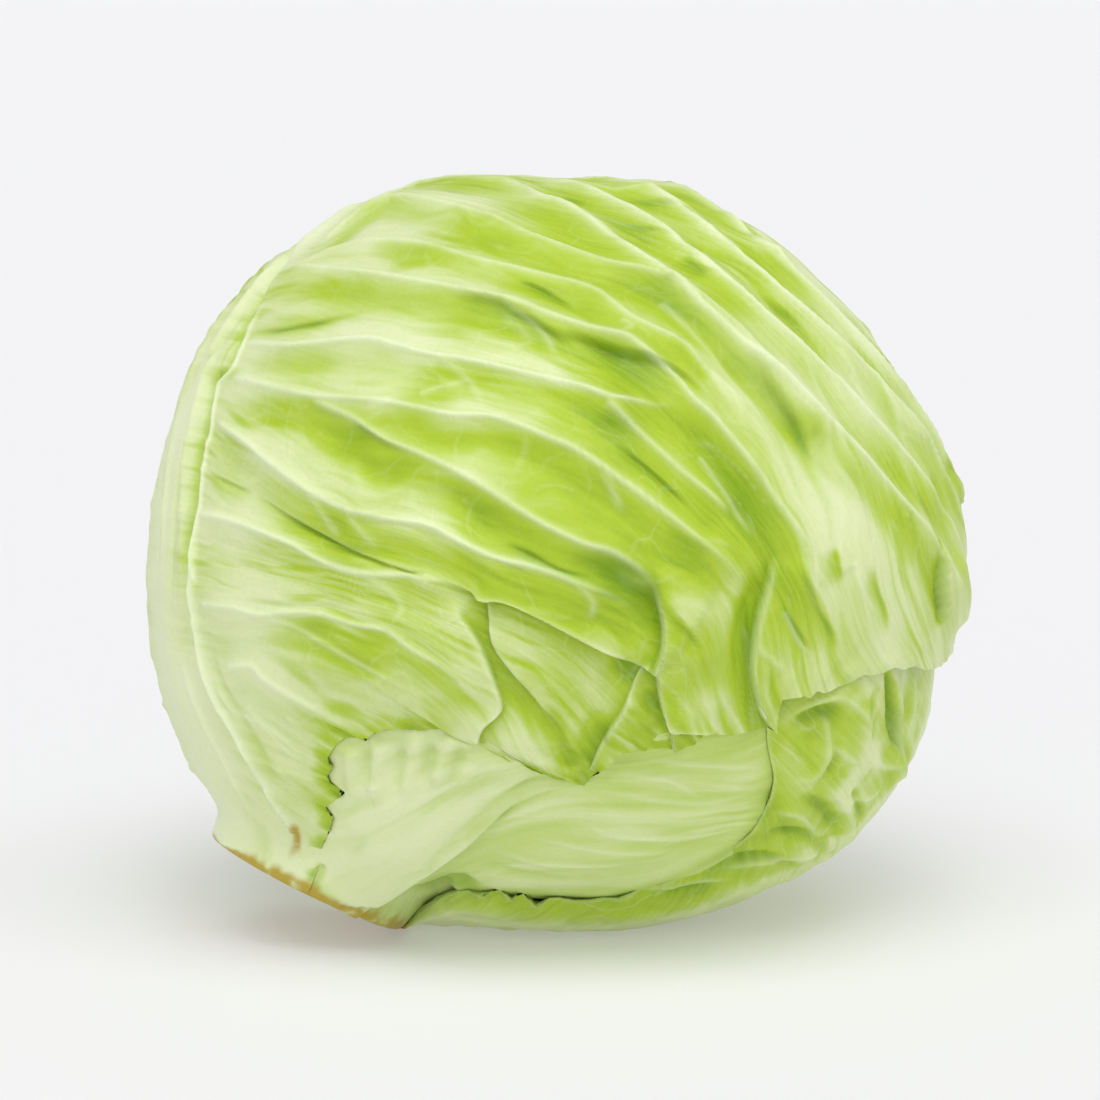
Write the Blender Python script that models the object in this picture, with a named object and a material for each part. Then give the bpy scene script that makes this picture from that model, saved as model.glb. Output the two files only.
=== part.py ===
"""A white cabbage head, lying on its side: cut stump at the lower left, crown at the upper right.

Units are metres, +Z is up, and the origin is on the floor under the middle of the head. Every surface is
a radius over a net of directions from the head's centre. The leaves are stacked like shells: the heart
inside, then leaf c in front and leaf b behind, leaf d from beneath and leaf a over all of them.
"""

import bmesh
import bpy
import numpy as np

MM = 0.001

# The front view, in which places on the front are given: its unit, the head's centre and the eye.
HEAD_WIDTH = 190 * MM
VIEW_HEAD_WIDTH = 821
VIEW_UNIT = HEAD_WIDTH / VIEW_HEAD_WIDTH
VIEW_CENTRE = (557, 551)
VIEW_RISE = np.radians(8)
VIEW_DISTANCE = 0.9

# The head.
CENTRE = MM * np.array([-0.2, 1.0, 84.4])
HALF_DEPTH = 88 * MM
OUTLINE_STEP = np.radians(15)
OUTLINE = MM * np.array([
    94, 91, 88, 87, 87.4, 86.8, 86, 88.6, 90.8, 92.8, 94, 93.6,
    94.5, 96.3, 97.6, 96.6, 93.5, 89, 87.6, 89, 91.3, 95, 94.8, 94,
])

# The cut through the stump, seen edge-on from the front.
STUMP_OFFSET = (-56.1 * MM, -75.9 * MM, -14 * MM)
CUT_TURN = np.radians(243.3)
STUMP_ANGLE = 12.8
BASE_ANGLE = 13.4
FLARE = 2.4 * MM
FLARE_SPREAD = 5

# Depths of the outer faces below the head's outline.
HEART_DEPTH = 7.6 * MM
HEART_DIMPLE = 6 * MM
HEART_DIMPLE_SPREAD = 38
LEAF_C_DEPTH = 3.9 * MM
LEAF_B_DEPTH = 4.2 * MM
HIDDEN_DEPTH = 2.2 * MM
LEAF_D_HIDDEN_DEPTH = 4.6 * MM

BLADE = 0.9 * MM
GAP = 0.4 * MM

RIGHT = np.array([1.0, 0.0, 0.0])
UP = np.array([0.0, np.sin(VIEW_RISE), np.cos(VIEW_RISE)])
AHEAD = np.array([0.0, np.cos(VIEW_RISE), -np.sin(VIEW_RISE)])
EYE = CENTRE - AHEAD * VIEW_DISTANCE


def unit(vectors):
    """Vectors scaled to length 1."""
    return vectors / np.linalg.norm(vectors, axis=-1, keepdims=True)


def smooth(value, low, high):
    """0 below low, 1 above high, and a soft step between."""
    x = np.clip((value - low) / (high - low), 0, 1)
    return x * x * (3 - 2 * x)


STUMP_PLACE = STUMP_OFFSET[0] * RIGHT + STUMP_OFFSET[1] * UP + STUMP_OFFSET[2] * AHEAD
POLE = unit(STUMP_PLACE)
CUT_NORMAL = np.cos(CUT_TURN) * RIGHT + np.sin(CUT_TURN) * UP
SIDE_FRONT = unit(-AHEAD + POLE * (AHEAD @ POLE))
SIDE_TOP = np.cross(POLE, SIDE_FRONT)


def at(away, turn):
    """The direction this many degrees from the stump, turned from the top (0) to the front (90)."""
    away, turn = np.radians(away), np.radians(turn)
    side = np.cos(turn) * SIDE_TOP + np.sin(turn) * SIDE_FRONT
    return np.cos(away) * POLE + np.sin(away) * side


def from_stump(directions):
    """Degrees between each direction and the stump."""
    return np.degrees(np.arccos(np.clip(directions @ POLE, -1, 1)))


def outline_radius(turn):
    """The outline's radius at an angle of the front view, on a smooth curve through its points."""
    place = (turn / OUTLINE_STEP) % len(OUTLINE)
    first = np.floor(place).astype(int)
    x = place - first
    a, b, c, d = (OUTLINE[(first + k) % len(OUTLINE)] for k in (-1, 0, 1, 2))
    return b + 0.5 * x * (c - a + x * (2 * a - 5 * b + 4 * c - d + x * (3 * (b - c) + d - a)))


def skin(directions):
    """The radius of the head's outermost face: round, with a flat spot where it lies on the floor."""
    across, rise, deep = directions @ RIGHT, directions @ UP, directions @ AHEAD
    flat = np.hypot(across, rise)
    edge = outline_radius(np.arctan2(rise, across))
    radius = 1 / np.sqrt((flat / edge) ** 2 + (deep / HALF_DEPTH) ** 2)
    down = np.maximum(-directions[..., 2], 1e-6)
    return np.minimum(radius, CENTRE[2] / down)


def cut_radius(directions):
    """The radius of the plane cut through the stump."""
    along = np.maximum(directions @ CUT_NORMAL, 0.2)
    return (STUMP_PLACE @ CUT_NORMAL) / along


def seen(x, y):
    """The direction from the head's centre to the place at x, y of the front view."""
    ray = AHEAD + VIEW_UNIT / VIEW_DISTANCE * ((x - VIEW_CENTRE[0]) * RIGHT + (VIEW_CENTRE[1] - y) * UP)
    ray = unit(ray)
    far = (CENTRE - EYE) @ ray
    near = far - 1.3 * HALF_DEPTH
    for _ in range(40):
        middle = (near + far) / 2
        place = EYE + middle * ray - CENTRE
        outside = np.linalg.norm(place) > skin(unit(place))
        near, far = (middle, far) if outside else (near, middle)
    return unit(EYE + far * ray - CENTRE)


def curve(points, count):
    """Directions on a smooth curve through the points."""
    points = np.array(points)
    padded = np.concatenate([[2 * points[0] - points[1]], points, [2 * points[-1] - points[-2]]])
    place = np.linspace(0, len(points) - 1 - 1e-9, count)
    first = place.astype(int)
    x = (place - first)[:, None]
    a, b, c, d = (padded[first + k] for k in range(4))
    return unit(b + 0.5 * x * (c - a + x * (2 * a - 5 * b + 4 * c - d + x * (3 * (b - c) + d - a))))


def nearest(directions, line):
    """(distance in metres, place from 0 to 1, side) of the nearest point of a line of directions."""
    flat = directions.reshape(-1, 3)
    best = np.full(len(flat), 9.0)
    place = np.zeros(len(flat))
    side = np.zeros(len(flat))
    for k in range(len(line) - 1):
        start, step = line[k], line[k + 1] - line[k]
        x = np.clip((flat - start) @ step / (step @ step), 0, 1)
        gap = np.linalg.norm(flat - start - x[:, None] * step, axis=1)
        closer = gap < best
        best = np.where(closer, gap, best)
        place = np.where(closer, (k + x) / (len(line) - 1), place)
        side = np.where(closer, np.sign(flat @ np.cross(start, step)), side)
    shape = directions.shape[:-1]
    return (best * HALF_DEPTH).reshape(shape), place.reshape(shape), side.reshape(shape)


def ridge(directions, points, height, width):
    """A long bump along a line, fading at both ends, or a groove where the height is negative."""
    distance, place, _ = nearest(directions, curve(points, 4 * len(points)))
    fade = smooth(place, 0, 0.12) * smooth(1 - place, 0, 0.12)
    return height * fade * np.exp(-((distance / width) ** 2))


def rib(directions, points, height, width, end_height, end_width):
    """A rib that starts at full height at the stump and tapers."""
    distance, place, _ = nearest(directions, curve(points, 4 * len(points)))
    wide = width + (end_width - width) * place
    tall = height + (end_height - height) * place
    return tall * np.exp(-((distance / wide) ** 2))


def mound(directions, middle, inner, outer):
    """1 within inner degrees of a direction, 0 past outer."""
    away = np.degrees(np.arccos(np.clip(directions @ middle, -1, 1)))
    return 1 - smooth(away, inner, outer)


def flare(directions):
    """How far the leaf bases stand out round the stump."""
    return FLARE * np.exp(-(((from_stump(directions) - BASE_ANGLE) / FLARE_SPREAD) ** 2))


def slerp(first, last, share):
    """Directions between two rows of directions, along great circles."""
    angle = np.arccos(np.clip((first * last).sum(-1), -1, 1))[:, None, None]
    first, last, share = first[:, None], last[:, None], share[None, :, None]
    return (np.sin((1 - share) * angle) * first + np.sin(share * angle) * last) / np.sin(angle)


def clear_of_stump(directions):
    """The net with its first rows pushed out to a circle round the stump."""
    angle = np.radians(from_stump(directions))
    least = np.radians(BASE_ANGLE + 0.8 * np.arange(len(directions)))[:, None]
    side = unit(directions - (directions @ POLE)[..., None] * POLE)
    pushed = np.cos(least)[..., None] * POLE + np.sin(least)[..., None] * side
    return np.where((angle < least)[..., None], pushed, directions)


def net(stations, rows, first, second):
    """A leaf's net, and each place's share of the way across (-1 and 1 at the margins, 0 at the midrib)
    and along. Rows run from one margin over the midrib to the other margin."""
    stations = np.array(stations)
    back, middle, front = (curve(stations[:, k], rows) for k in range(3))
    to_middle, to_front = np.linspace(0, 1, first + 1), np.linspace(0, 1, second + 1)
    near, far = slerp(back, middle, to_middle), slerp(middle, front, to_front)
    whole = np.concatenate([near, far[:, 1:]], axis=1)
    across = np.concatenate([to_middle - 1, to_front[1:]])[None, :].repeat(rows, 0)
    along = np.linspace(0, 1, rows)[:, None].repeat(first + second + 1, 1)
    return clear_of_stump(whole), across, along


def link(mesh_object):
    bpy.context.scene.collection.objects.link(mesh_object)
    return mesh_object


def solid(name, points, faces, material):
    """An object with outward faces."""
    mesh = bpy.data.meshes.new(name)
    mesh.from_pydata(points.tolist(), [], faces)
    work = bmesh.new()
    work.from_mesh(mesh)
    bmesh.ops.recalc_face_normals(work, faces=work.faces)
    work.to_mesh(mesh)
    work.free()
    mesh.shade_smooth()
    mesh.materials.append(material)
    return link(bpy.data.objects.new(name, mesh))


def blade(name, directions, outer, inner, material):
    """A closed blade between two radii over a net of directions, its two faces split alike."""
    rows, columns = directions.shape[:2]
    count = rows * columns
    index = np.arange(count).reshape(rows, columns)
    corner, right = index[:-1, :-1].ravel(), index[:-1, 1:].ravel()
    above, across = index[1:, :-1].ravel(), index[1:, 1:].ravel()
    face = np.concatenate([np.stack([corner, right, across], 1), np.stack([corner, across, above], 1)])
    rim = np.concatenate([index[0, :-1], index[:-1, -1], index[-1, :0:-1], index[:0:-1, 0]])
    ahead = np.roll(rim, -1)
    sides = np.concatenate([
        np.stack([rim, ahead + count, ahead], 1),
        np.stack([rim, rim + count, ahead + count], 1),
    ])
    faces = np.concatenate([face, face[:, ::-1] + count, sides])
    flat = directions.reshape(-1, 3)
    points = np.concatenate([flat * outer.reshape(-1, 1), flat * inner.reshape(-1, 1)]) + CENTRE
    return solid(name, points, faces.tolist(), material)


def surface(name, colour, roughness):
    material = bpy.data.materials.new(name)
    material.use_nodes = True
    shader = material.node_tree.nodes["Principled BSDF"]
    shader.inputs["Base Color"].default_value = (*colour, 1)
    shader.inputs["Roughness"].default_value = roughness
    shader.inputs["Metallic"].default_value = 0
    return material


# Leaf a, over the left, the top, the front and the right. Each station is its margin behind, its
# midrib and its margin in front.
def leaf_a_stations():
    return [
        (at(BASE_ANGLE, -40), at(BASE_ANGLE, 18), at(BASE_ANGLE, 72)),
        (at(24, -46), at(26, 18), seen(324, 822)),
        (at(34, -54), at(38, 18), seen(336, 788)),
        (at(46, -62), at(50, 18), seen(330, 752)),
        (at(58, -70), at(61, 17), seen(392, 734)),
        (at(70, -77), at(71, 16), seen(452, 735)),
        (at(81, -83), at(80, 16), seen(520, 768)),
        (at(92, -88), at(88, 15), seen(586, 790)),
        (at(102, -93), at(96, 14), seen(652, 754)),
        (at(111, -98), at(104, 13), seen(722, 739)),
        (at(119, -103), at(112, 11), seen(781, 716)),
        (at(126, -108), at(120, 9), seen(832, 689)),
        (at(132, -113), at(130, 5), seen(886, 673)),
        (at(134, -119), at(141, 0), seen(930, 662)),
        (at(134, -126), at(152, -8), at(114, 176)),
        (at(133, -131), at(162, -26), at(115, 183)),
        (at(131, -136), at(167, -68), at(116, 189)),
        (at(128, -141), at(160, -115), at(118, 195)),
        (at(125, -146), at(146, -138), at(120, 199)),
        (at(123, -150), at(124, -155), at(121, 202)),
    ]



def leaf_c_rib():
    line = [(372, 850), (432, 797), (500, 765), (600, 745), (700, 715)]
    return [at(BASE_ANGLE, 112)] + [seen(*p) for p in line]


def leaf_c_swell(directions):
    """The thick stalk of leaf c, which the margin of leaf a drapes over."""
    return rib(directions, leaf_c_rib(), 4.2 * MM, 13 * MM, 0.8 * MM, 9 * MM)


def leaf_a_folds(directions):
    """The broad folds across the front, which run down from the midrib to the right."""
    folds = [
        ([(290, 268), (411, 282), (518, 307), (613, 336), (698, 407), (766, 492), (821, 619)], 2.6, 4.6),
        ([(242, 345), (408, 344), (518, 374), (613, 400), (692, 406)], 2.0, 4.2),
        ([(230, 373), (350, 402), (488, 418), (590, 455), (698, 533), (754, 587)], 2.0, 4.2),
        ([(215, 419), (295, 479), (381, 519), (495, 553), (580, 582), (650, 610)], 2.3, 4.6),
        ([(442, 184), (560, 185), (682, 207), (790, 261)], 1.6, 4.2),
        ([(350, 235), (472, 213), (590, 252), (713, 313), (790, 393)], 1.8, 4.2),
        ([(789, 403), (813, 439), (848, 491), (880, 560)], 1.8, 4.2),
        ([(757, 295), (789, 318), (816, 351), (828, 377)], -1.4, 4),
        ([(575, 350), (640, 385), (690, 430), (740, 500), (790, 560)], -1.6, 4.4),
        ([(257, 490), (314, 529), (381, 559), (428, 576)], -1.4, 4),
        ([(847, 398), (890, 449), (913, 493)], -1.2, 4),
    ]
    lift = np.zeros(directions.shape[:-1])
    for points, height, width in folds:
        lift += ridge(directions, [seen(*p) for p in points], height * MM, width * MM)
    return lift


def lip(directions, points, over, under, reach):
    """A fold's edge: the blade stands high on the line's left and low on its right, and fades away."""
    distance, place, side = nearest(directions, curve([seen(*p) for p in points], 4 * len(points)))
    fade = smooth(place, 0, 0.2) * smooth(1 - place, 0, 0.1)
    signed = distance * side
    step = smooth(signed, -2.2 * MM, 2.2 * MM)
    return fade * np.exp(-distance / reach) * (over * step - under * (1 - step))


def leaf_a_laps(directions):
    """The three places where the blade laps over itself low on the front."""
    ledge = [(440, 578), (483, 592), (542, 620), (606, 652), (660, 677)]
    middle_flap = [(600, 530), (652, 590), (664, 640), (660, 690), (672, 730)]
    right_flap = [(790, 540), (767, 600), (757, 650), (760, 700)]
    return (
        lip(directions, ledge, 2.4 * MM, 1.8 * MM, 16 * MM)
        + lip(directions, middle_flap, 2.2 * MM, 1.4 * MM, 12 * MM)
        + lip(directions, right_flap, 2.8 * MM, 1.2 * MM, 14 * MM)
    )


def side_ribs(along, across, count, height):
    """Ribs that branch off the midrib, one along every few rows of the net."""
    wave = np.maximum(np.cos(2 * np.pi * count * along), 0) ** 2
    return height * wave * smooth(across, 0.1, 0.4) * smooth(1 - across, 0, 0.3)


def waves(along, across, count, height, from_edge=0.8):
    """Outward waves of a margin."""
    return height * smooth(across, from_edge, 1) * (0.5 + 0.5 * np.sin(2 * np.pi * count * along))


def build_leaf_a(material):
    directions, across, along = net(leaf_a_stations(), 54, 11, 21)
    lift = leaf_a_folds(directions) + leaf_a_laps(directions)
    lift += leaf_c_swell(directions) * 0.9 + flare(directions)
    lift += waves(along, np.abs(across), 11, 1.8 * MM)
    lift += side_ribs(along, -across, 10, 1.6 * MM)
    lift += 1.6 * MM * mound(directions, at(118, 184), 14, 30)
    spine = np.array(leaf_a_stations())[:, 1]
    stalk = rib(directions, spine, 0.4 * MM, 9 * MM, 1.0 * MM, 4 * MM)
    outer = np.minimum(skin(directions) + lift + stalk, cut_radius(directions))
    inner = outer - BLADE - rib(directions, spine, 4.5 * MM, 10 * MM, 0.1 * MM, 4 * MM)
    return blade("leaf_a", directions, outer, inner, material)


# Leaf c, the pale one in front: behind leaf a at its upper margin and behind leaf d at its lower one.
def build_leaf_c(material):
    directions, _, _ = net([
        (at(BASE_ANGLE, 76), at(BASE_ANGLE, 118), at(BASE_ANGLE, 170)),
        (at(26, 66), at(27, 118), at(26, 176)),
        (at(40, 68), at(42, 122), at(42, 178)),
        (at(56, 82), at(58, 128), at(58, 178)),
        (at(72, 98), at(74, 134), at(74, 178)),
        (at(86, 112), at(90, 140), at(88, 176)),
        (at(98, 118), at(103, 144), at(100, 172)),
    ], 22, 11, 11)
    deep = LEAF_C_DEPTH + HIDDEN_DEPTH * smooth(from_stump(directions), 82, 98)
    deep += HIDDEN_DEPTH * mound(directions, at(60, 174), 14, 28)
    swell = leaf_c_swell(directions)
    outer = np.minimum(skin(directions) - deep + swell + 0.5 * flare(directions), cut_radius(directions))
    inner = outer - BLADE - 1.1 * swell
    return blade("leaf_c", directions, outer, inner, material)


# Leaf b, its counterpart behind.
LEAF_B_RIB = [(BASE_ANGLE, -64), (35, -68), (60, -76), (85, -86)]


def build_leaf_b(material):
    directions, _, _ = net([
        (at(BASE_ANGLE, -88), at(BASE_ANGLE, -64), at(BASE_ANGLE, -44)),
        (at(26, -98), at(27, -66), at(26, -36)),
        (at(42, -108), at(44, -71), at(42, -38)),
        (at(58, -112), at(61, -77), at(58, -46)),
        (at(73, -112), at(77, -84), at(73, -58)),
        (at(84, -108), at(89, -90), at(84, -70)),
    ], 18, 9, 8)
    swell = rib(directions, [at(*p) for p in LEAF_B_RIB], 3 * MM, 10 * MM, 0.6 * MM, 5 * MM)
    deep = LEAF_B_DEPTH + HIDDEN_DEPTH * smooth(from_stump(directions), 60, 80)
    outer = np.minimum(skin(directions) - deep + swell + 0.5 * flare(directions), cut_radius(directions))
    inner = outer - BLADE - 0.8 * swell
    return blade("leaf_b", directions, outer, inner, material)


# Leaf d, from beneath: it carries the head and shows at the lower right.
LEAF_D_RIB = [(BASE_ANGLE, 226), (32, 230), (55, 230), (75, 228), (95, 224), (115, 218)]


def build_leaf_d(material):
    directions, across, along = net([
        (at(BASE_ANGLE, 268), at(BASE_ANGLE, 226), at(BASE_ANGLE, 178)),
        (at(28, 268), at(28, 229), seen(470, 900)),
        (at(44, 270), at(44, 230), seen(552, 912)),
        (at(60, 272), at(60, 230), seen(650, 897)),
        (at(76, 274), at(76, 228), seen(740, 858)),
        (at(91, 274), at(91, 225), seen(778, 802)),
        (at(104, 272), at(104, 221), seen(790, 745)),
        (at(117, 268), at(117, 216), seen(812, 690)),
        (at(130, 258), at(130, 210), seen(868, 640)),
    ], 30, 12, 13)
    shown = np.maximum(mound(directions, at(76, 194), 26, 46), mound(directions, at(45, 225), 44, 62))
    shown = np.maximum(shown, 0.62 * mound(directions, seen(815, 770), 12, 30))
    deep = LEAF_D_HIDDEN_DEPTH * (1 - shown)
    swell = rib(directions, [at(*p) for p in LEAF_D_RIB], 3.5 * MM, 9 * MM, 0.5 * MM, 4 * MM)
    outer = skin(directions) - deep + 0.5 * flare(directions) + 0.7 * swell
    outer += side_ribs(along, np.abs(across), 6, 1.2 * MM) * shown
    outer = np.minimum(outer, CENTRE[2] / np.maximum(-directions[..., 2], 1e-6))
    outer = np.minimum(outer, cut_radius(directions))
    inner = outer - BLADE - 0.7 * swell
    return blade("leaf_d", directions, outer, inner, material)


def build_heart(material):
    """The tight inner head, one body of leaves wrapped round each other."""
    work = bmesh.new()
    bmesh.ops.create_icosphere(work, subdivisions=4, radius=1)
    mesh = bpy.data.meshes.new("heart")
    work.to_mesh(mesh)
    work.free()
    directions = unit(np.array([v.co[:] for v in mesh.vertices]))
    dimple = HEART_DIMPLE * np.exp(-((from_stump(directions) / HEART_DIMPLE_SPREAD) ** 2))
    points = CENTRE + directions * (skin(directions) - HEART_DEPTH - dimple)[:, None]
    for vertex, point in zip(mesh.vertices, points):
        vertex.co = point
    mesh.shade_smooth()
    mesh.materials.append(material)
    return link(bpy.data.objects.new("heart", mesh))


def build_stump(material):
    """The cut stalk: a plug with a flat cut face, inside the ring of leaf bases."""
    rings, sectors = 3, 28
    away = np.linspace(0, STUMP_ANGLE, rings + 1)[1:]
    turns = np.linspace(0, 360, sectors, endpoint=False)
    directions = np.array([POLE] + [at(a, t) for a in away for t in turns])
    outer = cut_radius(directions)
    inner = skin(directions) - HEART_DEPTH + GAP
    inner -= HEART_DIMPLE * np.exp(-((from_stump(directions) / HEART_DIMPLE_SPREAD) ** 2))
    count = len(directions)
    face = [(0, 1 + k, 1 + (k + 1) % sectors) for k in range(sectors)]
    for ring in range(rings - 1):
        low = 1 + ring * sectors
        for k in range(sectors):
            a, b = low + k, low + (k + 1) % sectors
            face += [(a, a + sectors, b + sectors), (a, b + sectors, b)]
    rim = 1 + (rings - 1) * sectors
    faces = face + [(a + count, c + count, b + count) for a, b, c in face]
    for k in range(sectors):
        a, b = rim + k, rim + (k + 1) % sectors
        faces += [(a, a + count, b + count), (a, b + count, b)]
    points = np.concatenate([directions * outer[:, None], directions * inner[:, None]]) + CENTRE
    return solid("stump", points, faces, material)


def main():
    for old in list(bpy.data.objects):
        bpy.data.objects.remove(old)
    green = surface("outer leaf", (0.52, 0.68, 0.24), 0.45)
    build_leaf_a(green)
    build_leaf_b(surface("back leaf", (0.56, 0.70, 0.30), 0.45))
    build_leaf_c(surface("pale leaf", (0.66, 0.77, 0.42), 0.4))
    build_leaf_d(surface("under leaf", (0.44, 0.62, 0.18), 0.45))
    build_heart(surface("heart leaf", (0.70, 0.78, 0.48), 0.45))
    build_stump(surface("cut stump", (0.55, 0.46, 0.24), 0.7))


main()
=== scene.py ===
"""The looks of the cabbage head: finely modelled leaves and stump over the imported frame, and a soft studio.

Each leaf is a fine net of directions from the head's centre, as in the solids, with its relief drawn in
strokes: folds, laps, veins, grooves and shaded hollows. Lines on the front are given in the front view,
and the tables of strokes say above each what its numbers are. Widths and heights there are millimetres.
"""

import bpy
import numpy as np
from mathutils import Matrix, Vector


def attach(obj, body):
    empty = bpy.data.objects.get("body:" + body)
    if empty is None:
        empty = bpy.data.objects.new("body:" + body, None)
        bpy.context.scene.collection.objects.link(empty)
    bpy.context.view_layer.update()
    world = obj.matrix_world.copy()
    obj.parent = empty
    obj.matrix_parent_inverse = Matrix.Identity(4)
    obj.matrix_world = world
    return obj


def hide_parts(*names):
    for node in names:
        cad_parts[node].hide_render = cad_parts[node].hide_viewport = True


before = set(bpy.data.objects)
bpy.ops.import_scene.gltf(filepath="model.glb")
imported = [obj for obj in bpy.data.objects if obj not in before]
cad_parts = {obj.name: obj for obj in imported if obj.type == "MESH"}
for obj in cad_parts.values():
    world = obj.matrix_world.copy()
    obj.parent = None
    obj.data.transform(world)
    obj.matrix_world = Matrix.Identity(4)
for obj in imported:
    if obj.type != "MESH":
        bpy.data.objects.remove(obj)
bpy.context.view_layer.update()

MM = 0.001

# The front view: its unit, the head's centre, the eye, and the size of the picture.
HEAD_WIDTH = 190 * MM
VIEW_HEAD_WIDTH = 821
VIEW_UNIT = HEAD_WIDTH / VIEW_HEAD_WIDTH
VIEW_CENTRE = (557, 551)
VIEW_RISE = np.radians(8)
VIEW_DISTANCE = 0.9
PICTURE = 1100

# The head, as in the solids.
CENTRE = MM * np.array([-0.2, 1.0, 84.4])
HALF_DEPTH = 88 * MM
OUTLINE_STEP = np.radians(15)
OUTLINE = MM * np.array([
    94, 91, 88, 87, 87.4, 86.8, 86, 88.6, 90.8, 92.8, 94, 93.6,
    94.5, 96.3, 97.6, 96.6, 93.5, 89, 87.6, 89, 91.3, 95, 94.8, 94,
])
STUMP_OFFSET = (-56.1 * MM, -75.9 * MM, -14 * MM)
CUT_TURN = np.radians(243.3)
STUMP_ANGLE = 12.8
BASE_ANGLE = 13.4
FLARE = 2.4 * MM
FLARE_SPREAD = 5
HEART_DEPTH = 7.6 * MM
LEAF_C_DEPTH = 3.9 * MM
LEAF_B_DEPTH = 4.2 * MM
HIDDEN_DEPTH = 2.2 * MM
LEAF_D_HIDDEN_DEPTH = 4.6 * MM

# The thinnest vein, in millimetres, that the net holds.
THINNEST = 0.62

# Where across a leaf its margin starts to thin, where it is thinnest, and its thickness there.
THIN_FROM, THIN_AT = 0.95, 0.995
THIN_EDGE = 0.5 * MM

# The inner face of a leaf takes each sixth point of the outer face's net. It lies below the lowest point
# within seven points of each, so that no groove cuts through.
COARSE_STEP = 6
GROOVE_REACH = 7

# A net keeps clear of the stump by a circle that widens by this many degrees at each step along it.
CLEAR_STEP = 0.8
LEAF_STEPS = 22
LEAF_A_STEPS = 53

# How far a broad fold reaches to each side of its line, and where it starts to fade, in millimetres.
FOLD_REACH, FOLD_FADE = 20, 12

RIGHT = np.array([1.0, 0.0, 0.0])
UP = np.array([0.0, np.sin(VIEW_RISE), np.cos(VIEW_RISE)])
AHEAD = np.array([0.0, np.cos(VIEW_RISE), -np.sin(VIEW_RISE)])
EYE = CENTRE - AHEAD * VIEW_DISTANCE


def unit(vectors):
    """Vectors scaled to length 1."""
    return vectors / np.linalg.norm(vectors, axis=-1, keepdims=True)


def smooth(value, low, high):
    """0 below low, 1 above high, and a soft step between."""
    x = np.clip((value - low) / (high - low), 0, 1)
    return x * x * (3 - 2 * x)


def bell(value, width):
    """1 at zero, falling to nothing past about twice the width."""
    return np.exp(-((value / width) ** 2))


STUMP_PLACE = STUMP_OFFSET[0] * RIGHT + STUMP_OFFSET[1] * UP + STUMP_OFFSET[2] * AHEAD
POLE = unit(STUMP_PLACE)
CUT_NORMAL = np.cos(CUT_TURN) * RIGHT + np.sin(CUT_TURN) * UP
SIDE_FRONT = unit(-AHEAD + POLE * (AHEAD @ POLE))
SIDE_TOP = np.cross(POLE, SIDE_FRONT)


def at(away, turn):
    """The direction this many degrees from the stump, turned from the top (0) to the front (90)."""
    away, turn = np.radians(away), np.radians(turn)
    side = np.cos(turn) * SIDE_TOP + np.sin(turn) * SIDE_FRONT
    return np.cos(away) * POLE + np.sin(away) * side


def from_stump(directions):
    """Degrees between each direction and the stump."""
    return np.degrees(np.arccos(np.clip(directions @ POLE, -1, 1)))


def outline_radius(turn):
    """The outline's radius at an angle of the front view, on a smooth curve through its points."""
    place = (turn / OUTLINE_STEP) % len(OUTLINE)
    first = np.floor(place).astype(int)
    x = place - first
    a, b, c, d = (OUTLINE[(first + k) % len(OUTLINE)] for k in (-1, 0, 1, 2))
    return b + 0.5 * x * (c - a + x * (2 * a - 5 * b + 4 * c - d + x * (3 * (b - c) + d - a)))


def skin(directions):
    """The radius of the head's outermost face: round, with a flat spot where it lies on the floor."""
    across, rise, deep = directions @ RIGHT, directions @ UP, directions @ AHEAD
    flat = np.hypot(across, rise)
    edge = outline_radius(np.arctan2(rise, across))
    radius = 1 / np.sqrt((flat / edge) ** 2 + (deep / HALF_DEPTH) ** 2)
    return np.minimum(radius, floor_radius(directions))


def floor_radius(directions):
    """The radius at which a direction meets the floor."""
    return CENTRE[2] / np.maximum(-directions[..., 2], 1e-6)


def cut_radius(directions):
    """The radius of the plane cut through the stump."""
    along = np.maximum(directions @ CUT_NORMAL, 0.2)
    return (STUMP_PLACE @ CUT_NORMAL) / along


def seen(points):
    """The directions from the head's centre to places of the front view."""
    points = np.array(points, float).reshape(-1, 2)
    x, y = points[:, :1] - VIEW_CENTRE[0], VIEW_CENTRE[1] - points[:, 1:]
    ray = unit(AHEAD + VIEW_UNIT / VIEW_DISTANCE * (x * RIGHT + y * UP))
    far = ray @ (CENTRE - EYE)
    near = far - 1.3 * HALF_DEPTH
    for _ in range(40):
        middle = (near + far) / 2
        place = EYE + middle[:, None] * ray - CENTRE
        outside = np.linalg.norm(place, axis=1) > skin(unit(place))
        near, far = np.where(outside, middle, near), np.where(outside, far, middle)
    return unit(EYE + far[:, None] * ray - CENTRE)


def polar(points):
    """Directions from pairs of degrees from the stump and degrees of turn."""
    return np.array([at(away, turn) for away, turn in points])


def curve(points, count):
    """Directions on a smooth curve through the points."""
    points = np.array(points)
    padded = np.concatenate([[2 * points[0] - points[1]], points, [2 * points[-1] - points[-2]]])
    place = np.linspace(0, len(points) - 1 - 1e-9, count) if np.isscalar(count) else count
    first = place.astype(int)
    x = (place - first)[:, None]
    a, b, c, d = (padded[first + k] for k in range(4))
    return unit(b + 0.5 * x * (c - a + x * (2 * a - 5 * b + 4 * c - d + x * (3 * (b - c) + d - a))))


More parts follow.
